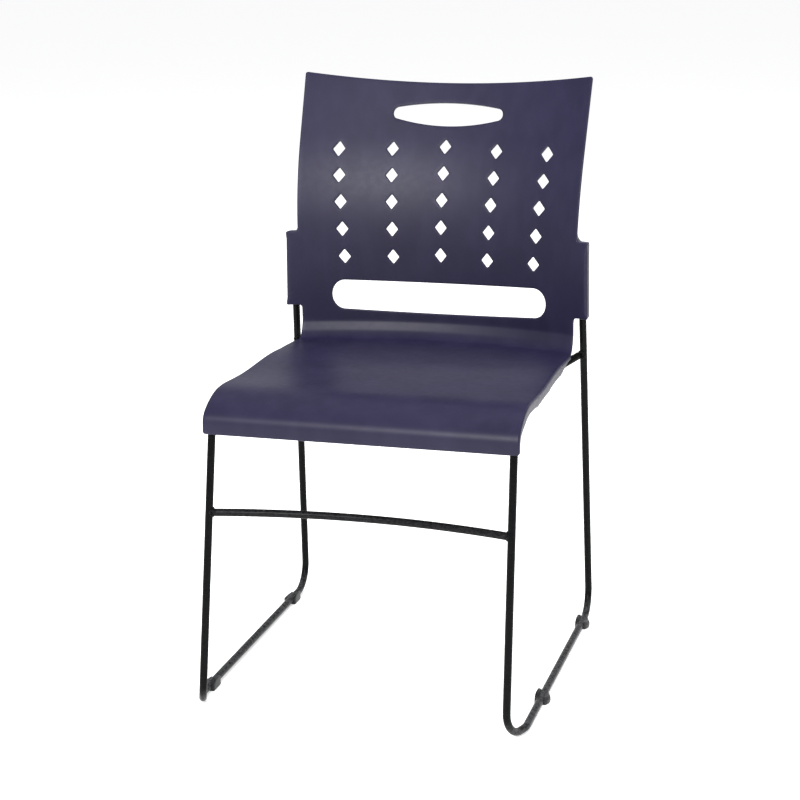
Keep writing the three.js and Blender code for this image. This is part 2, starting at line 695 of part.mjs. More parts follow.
function addBumpers() {
  const bumper = new THREE.ExtrudeGeometry(bumperOutline(), {
    depth: BUMPER_LENGTH,
    curveSegments: 8,
    bevelEnabled: false,
  });
  bumper.translate(0, 0, -BUMPER_LENGTH / 2);
  const start = vec(LEG_TOP);
  const rail = vec(RAIL_REAR).sub(start);
  const back = rail.clone().normalize().negate();
  const across = new THREE.Vector3(0, 0, 1).cross(back).normalize();
  const up = back.clone().cross(across);
  bumper.applyMatrix4(new THREE.Matrix4().makeBasis(across, up, back));
  for (const [end, fraction] of BUMPER_AT) {
    const place = start.clone().addScaledVector(rail, fraction);
    const placed = bumper.clone().translate(...place.toArray());
    for (const [name, side] of SIDES) {
      addPiece(`${name}_${end}_stack_bumper`, mirrored(placed, side), blackPlastic);
    }
  }
}

// ---- The chair ----------------------------------------------------------------------------

addShell();
addSideRods();
addCrossbars();
addClips();
addSleeveScrews();
addGlides();
addBumpers();

export default chair;
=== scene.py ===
"""A stacking chair with a moulded shell on two bent steel-rod side frames.

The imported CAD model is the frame. The pieces here stand for its nodes with finer shapes and real
materials. Lengths are in millimetres until a mesh is made, where MM turns them into Blender's
metres. +Z is up, -Y is the front, and +X is on the right of somebody facing the chair.
"""
import math

import bmesh
import bpy
import numpy as np
from mathutils import Matrix, Vector
from mathutils.geometry import delaunay_2d_cdt


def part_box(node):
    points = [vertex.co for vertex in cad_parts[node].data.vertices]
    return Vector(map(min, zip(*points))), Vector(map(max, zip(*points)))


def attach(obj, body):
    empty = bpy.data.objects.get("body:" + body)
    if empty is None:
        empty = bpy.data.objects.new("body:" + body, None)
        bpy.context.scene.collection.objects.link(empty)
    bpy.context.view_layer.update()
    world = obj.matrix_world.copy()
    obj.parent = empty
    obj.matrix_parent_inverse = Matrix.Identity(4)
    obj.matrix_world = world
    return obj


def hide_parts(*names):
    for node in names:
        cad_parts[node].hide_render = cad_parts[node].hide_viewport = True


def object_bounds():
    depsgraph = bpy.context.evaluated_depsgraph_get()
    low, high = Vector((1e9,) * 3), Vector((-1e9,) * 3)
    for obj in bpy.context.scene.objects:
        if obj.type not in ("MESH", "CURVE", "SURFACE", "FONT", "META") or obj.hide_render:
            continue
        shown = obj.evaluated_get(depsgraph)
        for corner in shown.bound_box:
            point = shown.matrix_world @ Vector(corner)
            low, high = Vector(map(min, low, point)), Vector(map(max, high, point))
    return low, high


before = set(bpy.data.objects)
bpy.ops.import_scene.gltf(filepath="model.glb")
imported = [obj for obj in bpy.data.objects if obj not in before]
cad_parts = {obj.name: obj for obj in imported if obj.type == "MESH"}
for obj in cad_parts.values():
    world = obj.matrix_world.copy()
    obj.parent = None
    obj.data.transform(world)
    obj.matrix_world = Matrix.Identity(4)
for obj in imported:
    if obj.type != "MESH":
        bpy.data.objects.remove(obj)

MM = 0.001
SIDES = (("left", -1), ("right", 1))
CORNERS = [(f"{name}_{end}", side) for name, side in SIDES for end in ("front", "rear")]
cad_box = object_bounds()

# ---- Camera ----

VIEW_AZIMUTH = math.radians(16.06)  # where the camera stands, seen from the chair's middle
VIEW_ELEVATION = math.radians(14.48)
VIEW_DISTANCE = 2.837  # metres
AIM_YAW = math.radians(16.2)
AIM_PITCH = math.radians(15.02)
ROLL = math.radians(-0.66)
LENS = 88


def add_camera():
    middle = (cad_box[0] + cad_box[1]) / 2
    level = math.cos(VIEW_ELEVATION)
    away = Vector((math.sin(VIEW_AZIMUTH) * level, -math.cos(VIEW_AZIMUTH) * level,
                   math.sin(VIEW_ELEVATION)))
    ahead = Vector((-math.sin(AIM_YAW) * math.cos(AIM_PITCH),
                    math.cos(AIM_YAW) * math.cos(AIM_PITCH), -math.sin(AIM_PITCH)))
    right = Vector((math.cos(AIM_YAW), math.sin(AIM_YAW), 0))
    up = right.cross(ahead)
    turned_right = right * math.cos(ROLL) + up * math.sin(ROLL)
    turned_up = up * math.cos(ROLL) - right * math.sin(ROLL)
    camera = bpy.data.objects.new("camera", bpy.data.cameras.new("camera"))
    camera.data.lens = LENS
    camera.matrix_world = Matrix.Translation(middle + away * VIEW_DISTANCE) @ Matrix(
        (turned_right, turned_up, -ahead)).transposed().to_4x4()
    bpy.context.scene.collection.objects.link(camera)
    bpy.context.scene.camera = camera


add_camera()

# ---- Driving dimensions of the shell ----

SHELL_T = 5
LIP_Y = -233
LIP_BOTTOM = 389
LIP_TOP = 403
LIP_R = 24
NOSE_R = 110
NOSE_BREAK = math.radians(35)
SEAT_PITCH = 0.053
CORNER_Y = 205.2  # rear of the round corner between the seat and the back
CORNER_R = 20
CORNER_END = math.radians(20)  # the corner stops this much short of upright
CROWN_TOP = (207.9, 449)  # the band under the back slot leans back to here
LUMBAR = (206, 574)
BACK_BREAK = (242.2, 738)
BACK_TOP = (279, 821)
BOW_R = 650  # the back is hollow across its width
DISH = 11  # the seat's sides and rear stand above its middle
TOP_DIP = 17  # the top corners stand above the middle of the top edge
BOW_GROWS_Y = (-140, 170)  # where those curves across grow in and fade out
DISH_GROWS_Y = (-110, 90)
DISH_LEVELS_Y = (70, 200)  # the middle rises to the height of the sides
DISH_FADES_Z = (460, 560)
TOP_DIP_FROM_Z = 700
EASE_REACH = 2  # the section is averaged this far each way, in mm,
NOSE_EASE_REACH = 16  # and this far over the nose and the front of the seat
NOSE_EASED_Y = ((-190, -165), (60, 100))

HALF_FRONT = 223
HALF_SEAT_REAR = 218
HALF_WAIST = 214
HALF_SLEEVE = 218
HALF_TOP = 224.5
SEAT_REAR_Y = 170
WAIST_RUN = 28  # the seat's width eases to the waist's over this depth

WING_BOTTOM = 486  # the wings are the sleeves that drop over the uprights
WING_TOP = 602
WING_OUT_BOTTOM = 236.5
WING_OUT_TOP = 235
WING_DEPTH = 20
WING_MARGIN = 20  # what holds for the seat only, or the back only, stops this far from them

FRONT_CORNER_R = 4
WING_FOOT_R = (5, 2.4)  # inner corner, outer corner
WING_HEAD_R = (6.5, 3)
TOP_CORNER_R = 4

HANDLE = {"z": 777.1, "half": 86, "end_r": 9, "rise": 15, "fall": 19, "lean": 0.12}
SLOT = {"z": 501.8, "half": 168.7, "end": 20, "half_height": 23.2, "sag": 5}
DIAMOND_HALF = (9.5, 12)
DIAMOND_ROWS = ((728.8, 81.4), (690, 79.8), (650.3, 77.7), (608.8, 75.9), (566, 74.2))
DIAMOND_DROP = 4.2  # the middle column stands this much above the others
DIAMOND_CORNER_R = 1.6

# ---- Small helpers ----


def ramp(value, low, high, at_low, at_high):
    t = np.clip((np.asarray(value, float) - low) / (high - low), 0, 1)
    return at_low + (at_high - at_low) * t


def smoothstep(value, low, high):
    t = ramp(value, low, high, 0, 1)
    return t * t * (3 - 2 * t)


def plateau(value, rise, fall):
    """Rises from 0 to 1 over the range rise and falls back to 0 over the range fall."""
    return smoothstep(value, *rise) * (1 - smoothstep(value, *fall))


def arc(centre, radius, start, end, step):
    count = max(2, math.ceil(abs(end - start) * radius / step))
    angles = np.linspace(start, end, count + 1)
    return [(centre[0] + radius * math.cos(a), centre[1] + radius * math.sin(a)) for a in angles]


def bezier(points, count):
    """A quadratic or cubic Bezier curve through count + 1 points."""
    levels = [np.repeat(np.array([p], float), count + 1, 0) for p in points]
    t = np.linspace(0, 1, count + 1)[:, None]
    while len(levels) > 1:
        levels = [a * (1 - t) + b * t for a, b in zip(levels, levels[1:])]
    return [tuple(p) for p in levels[0]]


def resampled(points, step):
    """Points an even distance apart, close to step, along a flat polyline."""
    line = np.array(points, float)
    lengths = np.linalg.norm(np.diff(line, axis=0), axis=1)
    distinct = lengths > 1e-9
    line = line[np.concatenate([[True], distinct])]
    along = np.concatenate([[0], np.cumsum(lengths[distinct])])
    at = np.linspace(0, along[-1], round(along[-1] / step) + 1)
    return np.stack([np.interp(at, along, line[:, k]) for k in (0, 1)], 1)


def band(here, there, flip=False):
    """Quads between two closed rings of vertex numbers."""
    size = len(here)
    quads = [[here[k], here[(k + 1) % size], there[(k + 1) % size], there[k]] for k in range(size)]
    return [quad[:1] + quad[:0:-1] for quad in quads] if flip else quads


def make_object(name, vertices, faces, node_names, material):
    """A smooth piece from millimetre vertices. It rides on the chair and stands for CAD nodes."""
    mesh = bpy.data.meshes.new(name)
    mesh.from_pydata([tuple(v) for v in np.asarray(vertices, float) * MM], [], faces)
    mesh.validate()
    mesh.shade_smooth()
    piece = bpy.data.objects.new(name, mesh)
    bpy.context.scene.collection.objects.link(piece)
    mesh.materials.append(material)
    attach(piece, "root")
    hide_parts(*node_names)
    return piece


def set_wear_and_painted_light(piece, values):
    """Stores how worn each vertex is, from 0 to 1, for the materials; on the floor runners and the
    glides' outer lobes the value also stands for painted light.
    """
    wear_and_painted_light = piece.data.attributes.new("wear_and_painted_light", "FLOAT", "POINT")
    wear_and_painted_light.data.foreach_set("value", np.asarray(values, np.float32))


def edit_mesh(piece, edit):
    """Runs one edit on a piece's mesh through bmesh."""
    mesh = bmesh.new()
    mesh.from_mesh(piece.data)
    edit(mesh)
    mesh.to_mesh(piece.data)
    mesh.free()


class Builder:
    """Gathers vertices, faces and a wear value, which on some pieces also stands for painted light,
    from several closed forms that make one piece.
    """

    def __init__(self):
        self.vertices = []
        self.faces = []
        self.wear_and_painted_light = []

    def add(self, vertices, faces, wear_and_painted_light=0.0, flip=False):
        first = len(self.vertices)
        self.vertices.extend(np.asarray(vertices, float))
        self.wear_and_painted_light.extend(np.broadcast_to(wear_and_painted_light, len(vertices)))
        for face in faces:
            shifted = [first + i for i in face]
            self.faces.append(shifted[::-1] if flip else shifted)

    def piece(self, name, node_names, slot, material):
        made = make_object(name, self.vertices, self.faces, node_names, material)
        set_wear_and_painted_light(made, self.wear_and_painted_light)
        return made


# ---- Materials ----


def srgb(*channels):
    """A linear colour from 0-255 display values."""
    linear = (((c / 255 + 0.055) / 1.055) ** 2.4 if c > 10 else c / 255 / 12.92 for c in channels)
    return (*linear, 1.0)


class Nodes:
    """A material's node tree, with short calls for the nodes used here."""

    def __init__(self, name):
        self.material = bpy.data.materials.new(name)
        self.material.use_nodes = True
        self.tree = self.material.node_tree
        self.shader = self.tree.nodes["Principled BSDF"]
        self.place = self.node("ShaderNodeTexCoord").outputs["Object"]

    def feed(self, socket, value):
        """Sets a socket to a number or a colour, or links an output to it."""
        if isinstance(value, (int, float, tuple)):
            socket.default_value = value
        else:
            self.tree.links.new(value, socket)

    def node(self, kind, inputs=None, **settings):
        """A new node with its settings, and its inputs fed by name or by number."""
        made = self.tree.nodes.new(kind)
        for key, value in settings.items():
            setattr(made, key, value)
        for key, value in (inputs or {}).items():
            self.feed(made.inputs[key], value)
        return made

    def shade(self, inputs):
        """Feeds the shader's inputs by name and returns the material."""
        for key, value in inputs.items():
            self.feed(self.shader.inputs[key], value)
        return self.material

    def noise(self, size, detail, stretch=(1, 1, 1)):
        """Noise from 0 to 1 with features about size millimetres across."""
        mapping = self.node("ShaderNodeMapping", {"Scale": stretch, "Vector": self.place})
        made = self.node("ShaderNodeTexNoise", {"Scale": 1 / (size * MM), "Detail": detail,
                                                "Vector": mapping.outputs["Vector"]})
        return made.outputs["Fac"]

    def stretch(self, value, low, high, to_low, to_high):
        """The value with low..high stretched to to_low..to_high, held at both ends."""
        made = self.node("ShaderNodeMapRange", {
            "Value": value, "From Min": low, "From Max": high, "To Min": to_low, "To Max": to_high,
        }, interpolation_type="SMOOTHSTEP")
        return made.outputs["Result"]

    def math(self, operation, a, b):
        return self.node("ShaderNodeMath", {0: a, 1: b}, operation=operation).outputs["Value"]

    def mix(self, share, a, b):
        """The colour a, with this share of b mixed in."""
        made = self.node("ShaderNodeMix", {"Factor": share, "A": a, "B": b}, data_type="RGBA")
        return made.outputs["Result"]

    # The wear value of each vertex, which on the floor runners and the glides' outer lobes also
    # stands for painted light.
    def wear_and_painted_light(self):
        return self.node("ShaderNodeAttribute", attribute_name="wear_and_painted_light").outputs["Fac"]

    def bump(self, height, distance, strength, below=None):
        """A normal bumped by height, over distance millimetres, on top of the normal below."""
        inputs = {"Distance": distance * MM, "Strength": strength, "Height": height}
        if below is not None:
            inputs["Normal"] = below
        return self.node("ShaderNodeBump", inputs).outputs["Normal"]


def moulded_plastic(name, colour, pale, dark, roughness, gloss, grain):
    """Moulded polypropylene: a fine spark-eroded grain, faint flow marks and polished edges. Worn
    places go pale, and on the glides' outer lobes that pale is also a painted highlight.
    """
    nodes = Nodes(name)
    cloud = nodes.stretch(nodes.noise(90, 4), 0.3, 0.7, 0, 1)
    flow = nodes.stretch(nodes.noise(24, 3, (1, 1, 0.35)), 0.4, 0.7, 0, 0.25)
    pale_patches = nodes.stretch(nodes.noise(5, 5), 0.45, 0.62, 0.15, 1)
    pale_share = nodes.math("MULTIPLY", nodes.wear_and_painted_light(), pale_patches)
    base = nodes.mix(cloud, colour, dark)
    base = nodes.mix(flow, base, pale)
    # On the shell this pale is wear on the edges; on the glides' outer lobes it is scuffs and a
    # painted highlight of their lit tops.
    base = nodes.mix(nodes.math("MULTIPLY", pale_share, 0.55), base, pale)
    rough = nodes.stretch(nodes.noise(9, 4), 0.3, 0.7, roughness - 0.012, roughness + 0.018)
    rough = nodes.math("SUBTRACT", rough, nodes.math("MULTIPLY", pale_share, 0.1))
    waves = nodes.bump(nodes.noise(40, 1), 0.5, 0.02)
    grained = nodes.bump(nodes.noise(grain, 2), 0.06, 0.22, waves)
    return nodes.shade({"Base Color": base, "Roughness": rough, "Normal": grained, "IOR": 1.49,
                        "Specular IOR Level": gloss})


def powder_coat(name, colour, pale):
    """Black powder coat over steel: a light orange peel and rubbed high spots, which on the floor
    runners also stand for a painted sheen of their lit tops.
    """
    nodes = Nodes(name)
    cloud = nodes.stretch(nodes.noise(30, 4), 0.35, 0.7, 0, 0.6)
    scuff_and_painted_sheen = nodes.stretch(nodes.noise(3.5, 6), 0.36, 0.6, 0.15, 1)
    pale_share = nodes.math("MULTIPLY", nodes.wear_and_painted_light(), scuff_and_painted_sheen)
    base = nodes.mix(cloud, colour, pale)
    # This rubbed pale is scuffs on the high spots, and on the floor runners also a painted sheen of
    # their lit tops.
    base = nodes.mix(nodes.math("MULTIPLY", pale_share, 0.5), base, srgb(78, 78, 80))
    rough = nodes.stretch(nodes.noise(6, 5), 0.3, 0.7, 0.22, 0.32)
    peel = nodes.bump(nodes.noise(1.6, 2), 0.12, 0.15)
    return nodes.shade({"Base Color": base, "Roughness": rough, "Normal": peel, "IOR": 1.5,
                        "Specular IOR Level": 0.06})


def zinc_plate(name):
    """Bright zinc plate with fine turning marks."""
    nodes = Nodes(name)
    patch = nodes.stretch(nodes.noise(2.5, 4), 0.35, 0.65, 0, 1)
    base = nodes.mix(patch, srgb(196, 198, 200), srgb(150, 152, 156))
    rough = nodes.stretch(nodes.noise(0.8, 4), 0.3, 0.7, 0.22, 0.42)
    marks = nodes.bump(nodes.noise(0.35, 3), 0.03, 0.3)
    return nodes.shade({"Base Color": base, "Roughness": rough, "Normal": marks, "Metallic": 1})


SHELL_PLASTIC = moulded_plastic(
    "shell_plastic", colour=srgb(27, 25, 46), pale=srgb(37, 35, 56), dark=srgb(24, 22, 42),
    roughness=0.42, gloss=0.2, grain=0.7)
# The glides' pale colour goes on their outer lobes: scuffs and a painted highlight of their lit
# tops.
GLIDE_PLASTIC = moulded_plastic(
    "glide_plastic", colour=srgb(17, 17, 18), pale=srgb(88, 88, 90), dark=srgb(12, 12, 13),
    roughness=0.45, gloss=0.3, grain=0.6)
CLIP_PLASTIC = moulded_plastic(
    "clip_plastic", colour=srgb(36, 36, 39), pale=srgb(64, 64, 68), dark=srgb(29, 29, 31),
    roughness=0.55, gloss=0.5, grain=0.6)
FRAME_STEEL = powder_coat("frame_steel", colour=srgb(6, 6, 7), pale=srgb(10, 10, 11))
SCREW_STEEL = zinc_plate("screw_steel")

# ---- The shell's section ----


def averaged(line, reach):
    """Each place of a line moved to the average of its neighbours within reach."""
    padded = np.pad(line, ((reach, reach), (0, 0)), mode="reflect", reflect_type="odd")
    return sum(padded[k:k + len(line)] for k in range(2 * reach + 1)) / (2 * reach + 1)


def shell_section():
    """The front and upper face at the middle, from the lip's foot to the top edge, as (y, z)."""
    upright = math.pi / 2
    pitch = math.atan(SEAT_PITCH)
    lip = (LIP_Y + LIP_R, LIP_TOP)
    apart = NOSE_R - LIP_R
    nose = (lip[0] + apart * math.sin(NOSE_BREAK), lip[1] - apart * math.cos(NOSE_BREAK))
    seat_start = (nose[0] + NOSE_R * math.sin(pitch), nose[1] + NOSE_R * math.cos(pitch))
    corner_y = CORNER_Y - CORNER_R
    seat_end_y = corner_y - CORNER_R * math.sin(pitch)
    seat_end_z = seat_start[1] - SEAT_PITCH * (seat_end_y - seat_start[0])
    corner = (corner_y, seat_end_z + CORNER_R * math.cos(pitch))
    points = [(LIP_Y, LIP_BOTTOM)]
    points += arc(lip, LIP_R, math.pi, upright + NOSE_BREAK, 1)
    points += arc(nose, NOSE_R, upright + NOSE_BREAK, upright - pitch, 1)[1:]
    points += arc(corner, CORNER_R, -upright - pitch, -CORNER_END, 1)
    points += bezier([CROWN_TOP, (LUMBAR[0], (CROWN_TOP[1] + LUMBAR[1]) / 2), LUMBAR], 60)
    points += bezier([LUMBAR, (LUMBAR[0], (LUMBAR[1] + BACK_BREAK[1]) / 2), BACK_BREAK], 80)[1:]
    points += [BACK_TOP]
    line = resampled(points, 1)
    eased, broad = averaged(line, EASE_REACH), averaged(line, NOSE_EASE_REACH)
    return eased + plateau(line[:, 0], *NOSE_EASED_Y)[:, None] * (broad - eased)


SECTION = shell_section()
SECTION_S = np.arange(len(SECTION)) * np.linalg.norm(np.diff(SECTION, axis=0), axis=1).mean()
SECTION_END = SECTION_S[-1]


def section_normals():
    """Outward normals of the section, eased over a few millimetres so that curves run together."""
    reach = 3
    tangent = np.gradient(SECTION, axis=0)
    padded = np.pad(tangent, ((reach, reach), (0, 0)), mode="edge")
    eased = sum(padded[k:k + len(tangent)] for k in range(2 * reach + 1))
    eased /= np.linalg.norm(eased, axis=1)[:, None]
    return np.stack([-eased[:, 1], eased[:, 0]], 1)


SECTION_N = section_normals()


def section_at(s):
    """The section's place and outward normal, as (y, z, normal y, normal z)."""
    y, z = (np.interp(s, SECTION_S, SECTION[:, k]) for k in (0, 1))
    ny, nz = (np.interp(s, SECTION_S, SECTION_N[:, k]) for k in (0, 1))
    return y, z, ny, nz


def half_width(s):
    """Half the shell's width without the sleeves, at s along the section."""
    y, z, _, _ = section_at(s)
    seat = ramp(y, LIP_Y, SEAT_REAR_Y, HALF_FRONT, HALF_SEAT_REAR)
    waist = seat + (HALF_WAIST - seat) * smoothstep(y, SEAT_REAR_Y, SEAT_REAR_Y + WAIST_RUN)
    back = ramp(z, WING_TOP, BACK_TOP[1], HALF_SLEEVE, HALF_TOP)
    return np.where(z > WING_BOTTOM + WING_MARGIN, back, waist)


def shell_points(x, s, depth):
    """Places on the shell: x across, s along the section from the lip, depth into the wall."""
    x, s = np.asarray(x, float), np.asarray(s, float)
    y, z, ny, nz = section_at(s)
    edge = (x / half_width(s)) ** 2
    bow = smoothstep(y, *BOW_GROWS_Y) * x * x / (2 * BOW_R)
    hollow = edge + (1 - edge) * smoothstep(y, *DISH_LEVELS_Y)
    dish = DISH * hollow * smoothstep(y, *DISH_GROWS_Y) * (1 - smoothstep(z, *DISH_FADES_Z))
    lift = TOP_DIP * edge * smoothstep(z, TOP_DIP_FROM_Z, BACK_TOP[1])
    slope = (BACK_TOP[0] - BACK_BREAK[0]) / (BACK_TOP[1] - BACK_BREAK[1])
    return np.stack([x, y - bow + slope * lift - depth * ny, z + dish + lift - depth * nz], -1)


def section_place(z, x):
    """How far along the section the back's face reaches height z, at x across."""
    upper = SECTION_S[(SECTION[:, 1] > LIP_BOTTOM) & (SECTION[:, 0] > CORNER_Y - 4)]
    heights = shell_points(np.full(len(upper), x), upper, 0)[:, 2]
    return float(np.interp(z, heights, upper))


def seat_place(y):
    """How far along the section the seat's face reaches y."""
    lower = SECTION_S[SECTION[:, 1] < CROWN_TOP[1]]
    return float(np.interp(y, section_at(lower)[0], lower))


# ---- Outlines in (x, s), with the material on their left ----


def filleted(corners, step=0.8):
    """A closed outline from (x, s, radius) corners."""
    points = []
    for i, (x, s, radius) in enumerate(corners):
        tip = np.array((x, s))
        before = np.array(corners[i - 1][:2]) - tip
        after = np.array(corners[(i + 1) % len(corners)][:2]) - tip
        if radius <= 0:
            points.append(tuple(tip))
            continue
        u, v = before / np.linalg.norm(before), after / np.linalg.norm(after)
        half = math.acos(float(np.clip(u @ v, -1, 1))) / 2
        longest = 0.49 * min(np.linalg.norm(before), np.linalg.norm(after))
        setback = min(radius / math.tan(half), longest)
        radius = setback * math.tan(half)
        centre = tip + (u + v) / np.linalg.norm(u + v) * radius / math.sin(half)
        start, end = tip + u * setback - centre, tip + v * setback - centre
        first = math.atan2(start[1], start[0])
        turn = (math.atan2(end[1], end[0]) - first + math.pi) % (2 * math.pi) - math.pi
        points += arc(centre, radius, first, first + turn, step)
    return points


def densified(points, longest):
    """The same closed outline with no edge longer than longest."""
    out = []
    for a, b in zip(points, points[1:] + points[:1]):
        gap = math.dist(a, b)
        if gap < 1e-6:
            continue
        count = max(1, math.ceil(gap / longest))
        out += [(a[0] + (b[0] - a[0]) * k / count, a[1] + (b[1] - a[1]) * k / count)
                for k in range(count)]
    return np.array(out)


WING_FOOT_S = section_place(WING_BOTTOM, HALF_WAIST)
WING_HEAD_S = section_place(WING_TOP, HALF_SLEEVE)


def shell_outline():
    """The shell's outer edge: up the right side from the lip, then down the left side."""
    right = [(HALF_FRONT, 0, FRONT_CORNER_R)]
    right += [(float(half_width(s)), s, 0) for s in np.arange(8, WING_FOOT_S - 10, 6)]
    right += [(HALF_WAIST, WING_FOOT_S, WING_FOOT_R[0]),
              (WING_OUT_BOTTOM, WING_FOOT_S, WING_FOOT_R[1]),
              (WING_OUT_TOP, WING_HEAD_S, WING_HEAD_R[1]),
              (HALF_SLEEVE, WING_HEAD_S, WING_HEAD_R[0])]
    right += [(float(half_width(s)), s, 0)
              for s in np.arange(WING_HEAD_S + 12, SECTION_END - 8, 10)]
    right += [(HALF_TOP, SECTION_END, TOP_CORNER_R)]
    left = [(-x, s, radius) for x, s, radius in reversed(right)]
    return densified(filleted(right + left), 4)


def cut_outline(points):
    """An opening drawn as (x, z) on the back, turned into (x, s) with the material on its left."""
    return densified([(x, section_place(z, x)) for x, z in points], 3)[::-1]


def handle_outline():
    z, half, end_r, lean = HANDLE["z"], HANDLE["half"], HANDLE["end_r"], HANDLE["lean"]
    lowest, highest = z - 2 * HANDLE["fall"] + end_r, z + 2 * HANDLE["rise"] - end_r
    end = half - end_r
    tip = (end + end_r * math.sin(lean), end_r * math.cos(lean))
    below = bezier([(-tip[0], z - tip[1]), (0, lowest), (tip[0], z - tip[1])], 50)
    above = bezier([(tip[0], z + tip[1]), (0, highest), (-tip[0], z + tip[1])], 50)
    right = arc((end, z), end_r, lean - math.pi / 2, math.pi / 2 - lean, 1)
    left = arc((-end, z), end_r, math.pi / 2 + lean, 1.5 * math.pi - lean, 1)
    return cut_outline(below + right[1:-1] + above + left[1:-1])


def slot_outline():
    z, end, half_height, sag = SLOT["z"], SLOT["end"], SLOT["half_height"], SLOT["sag"]
    low, high = z - half_height, z + half_height
    middle = SLOT["half"] - end

    def cap(side, start):
        angles = np.linspace(start, start + math.pi, 33)
        return [(side * middle + end * math.cos(a), z + half_height * math.sin(a)) for a in angles]

    below = bezier([(-middle, low), (0, low - 2 * sag), (middle, low)], 60)
    above = bezier([(middle, high), (0, high - sag), (-middle, high)], 60)
    right, left = cap(1, -math.pi / 2), cap(-1, math.pi / 2)
    return cut_outline(below + right[1:-1] + above + left[1:-1])


def diamond_outline(x, z):
    s = section_place(z, x)
    w, h = DIAMOND_HALF
    tips = ((x + w, s), (x, s + h), (x - w, s), (x, s - h))
    return densified(filleted([(*tip, DIAMOND_CORNER_R) for tip in tips], 0.6), 2)[::-1]


def openings():
    cuts = [handle_outline(), slot_outline()]
    for z, pitch in DIAMOND_ROWS:
        cuts += [diamond_outline(k * pitch, z - (DIAMOND_DROP if k else 0)) for k in range(-2, 3)]
    return cuts


# ---- The shell ----

FLANGE_DEPTH = 15
FLANGE_T = 3.4
FLANGE_GROWS_S = (12, 62)  # the range of s where it deepens from the lip's side
LIP_SIDE_DEPTH = 8
FLANGE_FADE = (95, 150)  # the range of y where it ends
FLANGE_FRONT_Y = -200  # in front of this, only the outer corners of the lip have it
FLANGE_CORNER_X = (HALF_FRONT - 14, HALF_FRONT - 5)
EDGE_R = 1.8
HOLE_R = 1.1
EDGE_RINGS = (2, 3, 4, 8, 9, 10)  # rings of a rim on its round edges, which handling polishes
RIM_WEAR = 0.35  # the other rings of a rim
GRID_HALF = 234  # the grid of vertices on the shell's faces
GRID_STEP = 5.2
GRID_CLEAR = 1.7  # no grid vertex is closer to an outline than this


def inward(loop):
    """Unit normals of a closed loop, towards its material."""
    ahead = np.roll(loop, -1, 0) - loop
    ahead /= np.linalg.norm(ahead, axis=1)[:, None]
    tangent = ahead + np.roll(ahead, 1, 0)
    tangent /= np.linalg.norm(tangent, axis=1)[:, None]
    return np.stack([-tangent[:, 1], tangent[:, 0]], 1)


def outer_rim(loop):
    """Edge radius, wall depth and wall thickness round the shell's outer edge."""
    x, s = np.abs(loop[:, 0]), loop[:, 1]
    y, z, _, _ = section_at(s)
    on_seat = z < WING_BOTTOM - WING_MARGIN
    flange = ramp(s, *FLANGE_GROWS_S, LIP_SIDE_DEPTH, FLANGE_DEPTH)
    flange = np.where(y > FLANGE_FADE[0], ramp(y, *FLANGE_FADE, FLANGE_DEPTH, SHELL_T), flange)
    side = smoothstep(x, *FLANGE_CORNER_X) * on_seat
    side = np.where(y > FLANGE_FRONT_Y, on_seat * 1.0, side)
    wing = plateau(s, (WING_FOOT_S - 7, WING_FOOT_S - 0.5), (WING_HEAD_S + 1, WING_HEAD_S + 14))
    wing = wing * (x > HALF_WAIST - 8)
    flat = plateau(s, (WING_FOOT_S + 3, WING_FOOT_S + 14), (WING_HEAD_S - 14, WING_HEAD_S - 3))
    depth = SHELL_T + side * (flange - SHELL_T) + wing * (WING_DEPTH - SHELL_T)
    extra = np.clip((depth - SHELL_T) / 6, 0, 1)
    radius = EDGE_R + 1.4 * side * extra + 0.3 * wing + 4 * wing * flat
    wall = EDGE_R + 0.2 + side * extra * (FLANGE_T - EDGE_R - 0.2) + wing * 3
    return radius, depth, wall


def quarter(steps):
    """A quarter turn, as (1 - cosine, 1 - sine) of each angle."""
    angles = np.linspace(0, math.pi / 2, steps)
    return [(1 - math.cos(a), 1 - math.sin(a)) for a in angles]


def rim_rings(loop, radius, depth, wall):
    """The shell's edge as rings from its front face, round the edge and back to its rear face."""
    normal = inward(loop)
    free = depth - SHELL_T
    end = np.minimum(EDGE_R, wall * 0.5)
    end = np.minimum(end, depth - radius - 0.1)
    inner = np.minimum(end, free)
    fillet = np.minimum(1.6, free / 2)
    rings = [(radius * v, radius * u) for u, v in quarter(7)]
    rings += [(end * u, depth - end * v) for u, v in quarter(5)]
    rings += [(wall - inner * v, depth - inner * u) for u, v in quarter(3)]
    rings += [(wall + fillet * u, SHELL_T + fillet * v) for u, v in quarter(4)]
    return [(loop + normal * inset[:, None], deep) for inset, deep in rings]


def inside(points, loops):
    """Which points lie within the first loop and outside the others, by counting crossings."""
    crossings = np.zeros(len(points), int)
    for loop in loops:
        ends = np.roll(loop, -1, 0)
        for (ax, ay), (bx, by) in zip(loop, ends):
            if ay == by:
                continue
            spans = (points[:, 1] < ay) != (points[:, 1] < by)
            crossings += spans & (points[:, 0] < ax + (points[:, 1] - ay) * (bx - ax) / (by - ay))
    return crossings % 2 == 1


def section_rows():
    """Places along the section for rows of vertices, closer together on tight bends."""
    angle = np.unwrap(np.arctan2(SECTION_N[:, 1], SECTION_N[:, 0]))
    turn = np.abs(np.gradient(angle, SECTION_S))
    step = np.clip(0.1 / np.maximum(turn, 1e-6), 1.6, 5)
    count = np.concatenate([[0], np.cumsum(np.diff(SECTION_S) / step[1:])])
    return np.interp(np.arange(0.5, count[-1], 1), count, SECTION_S)


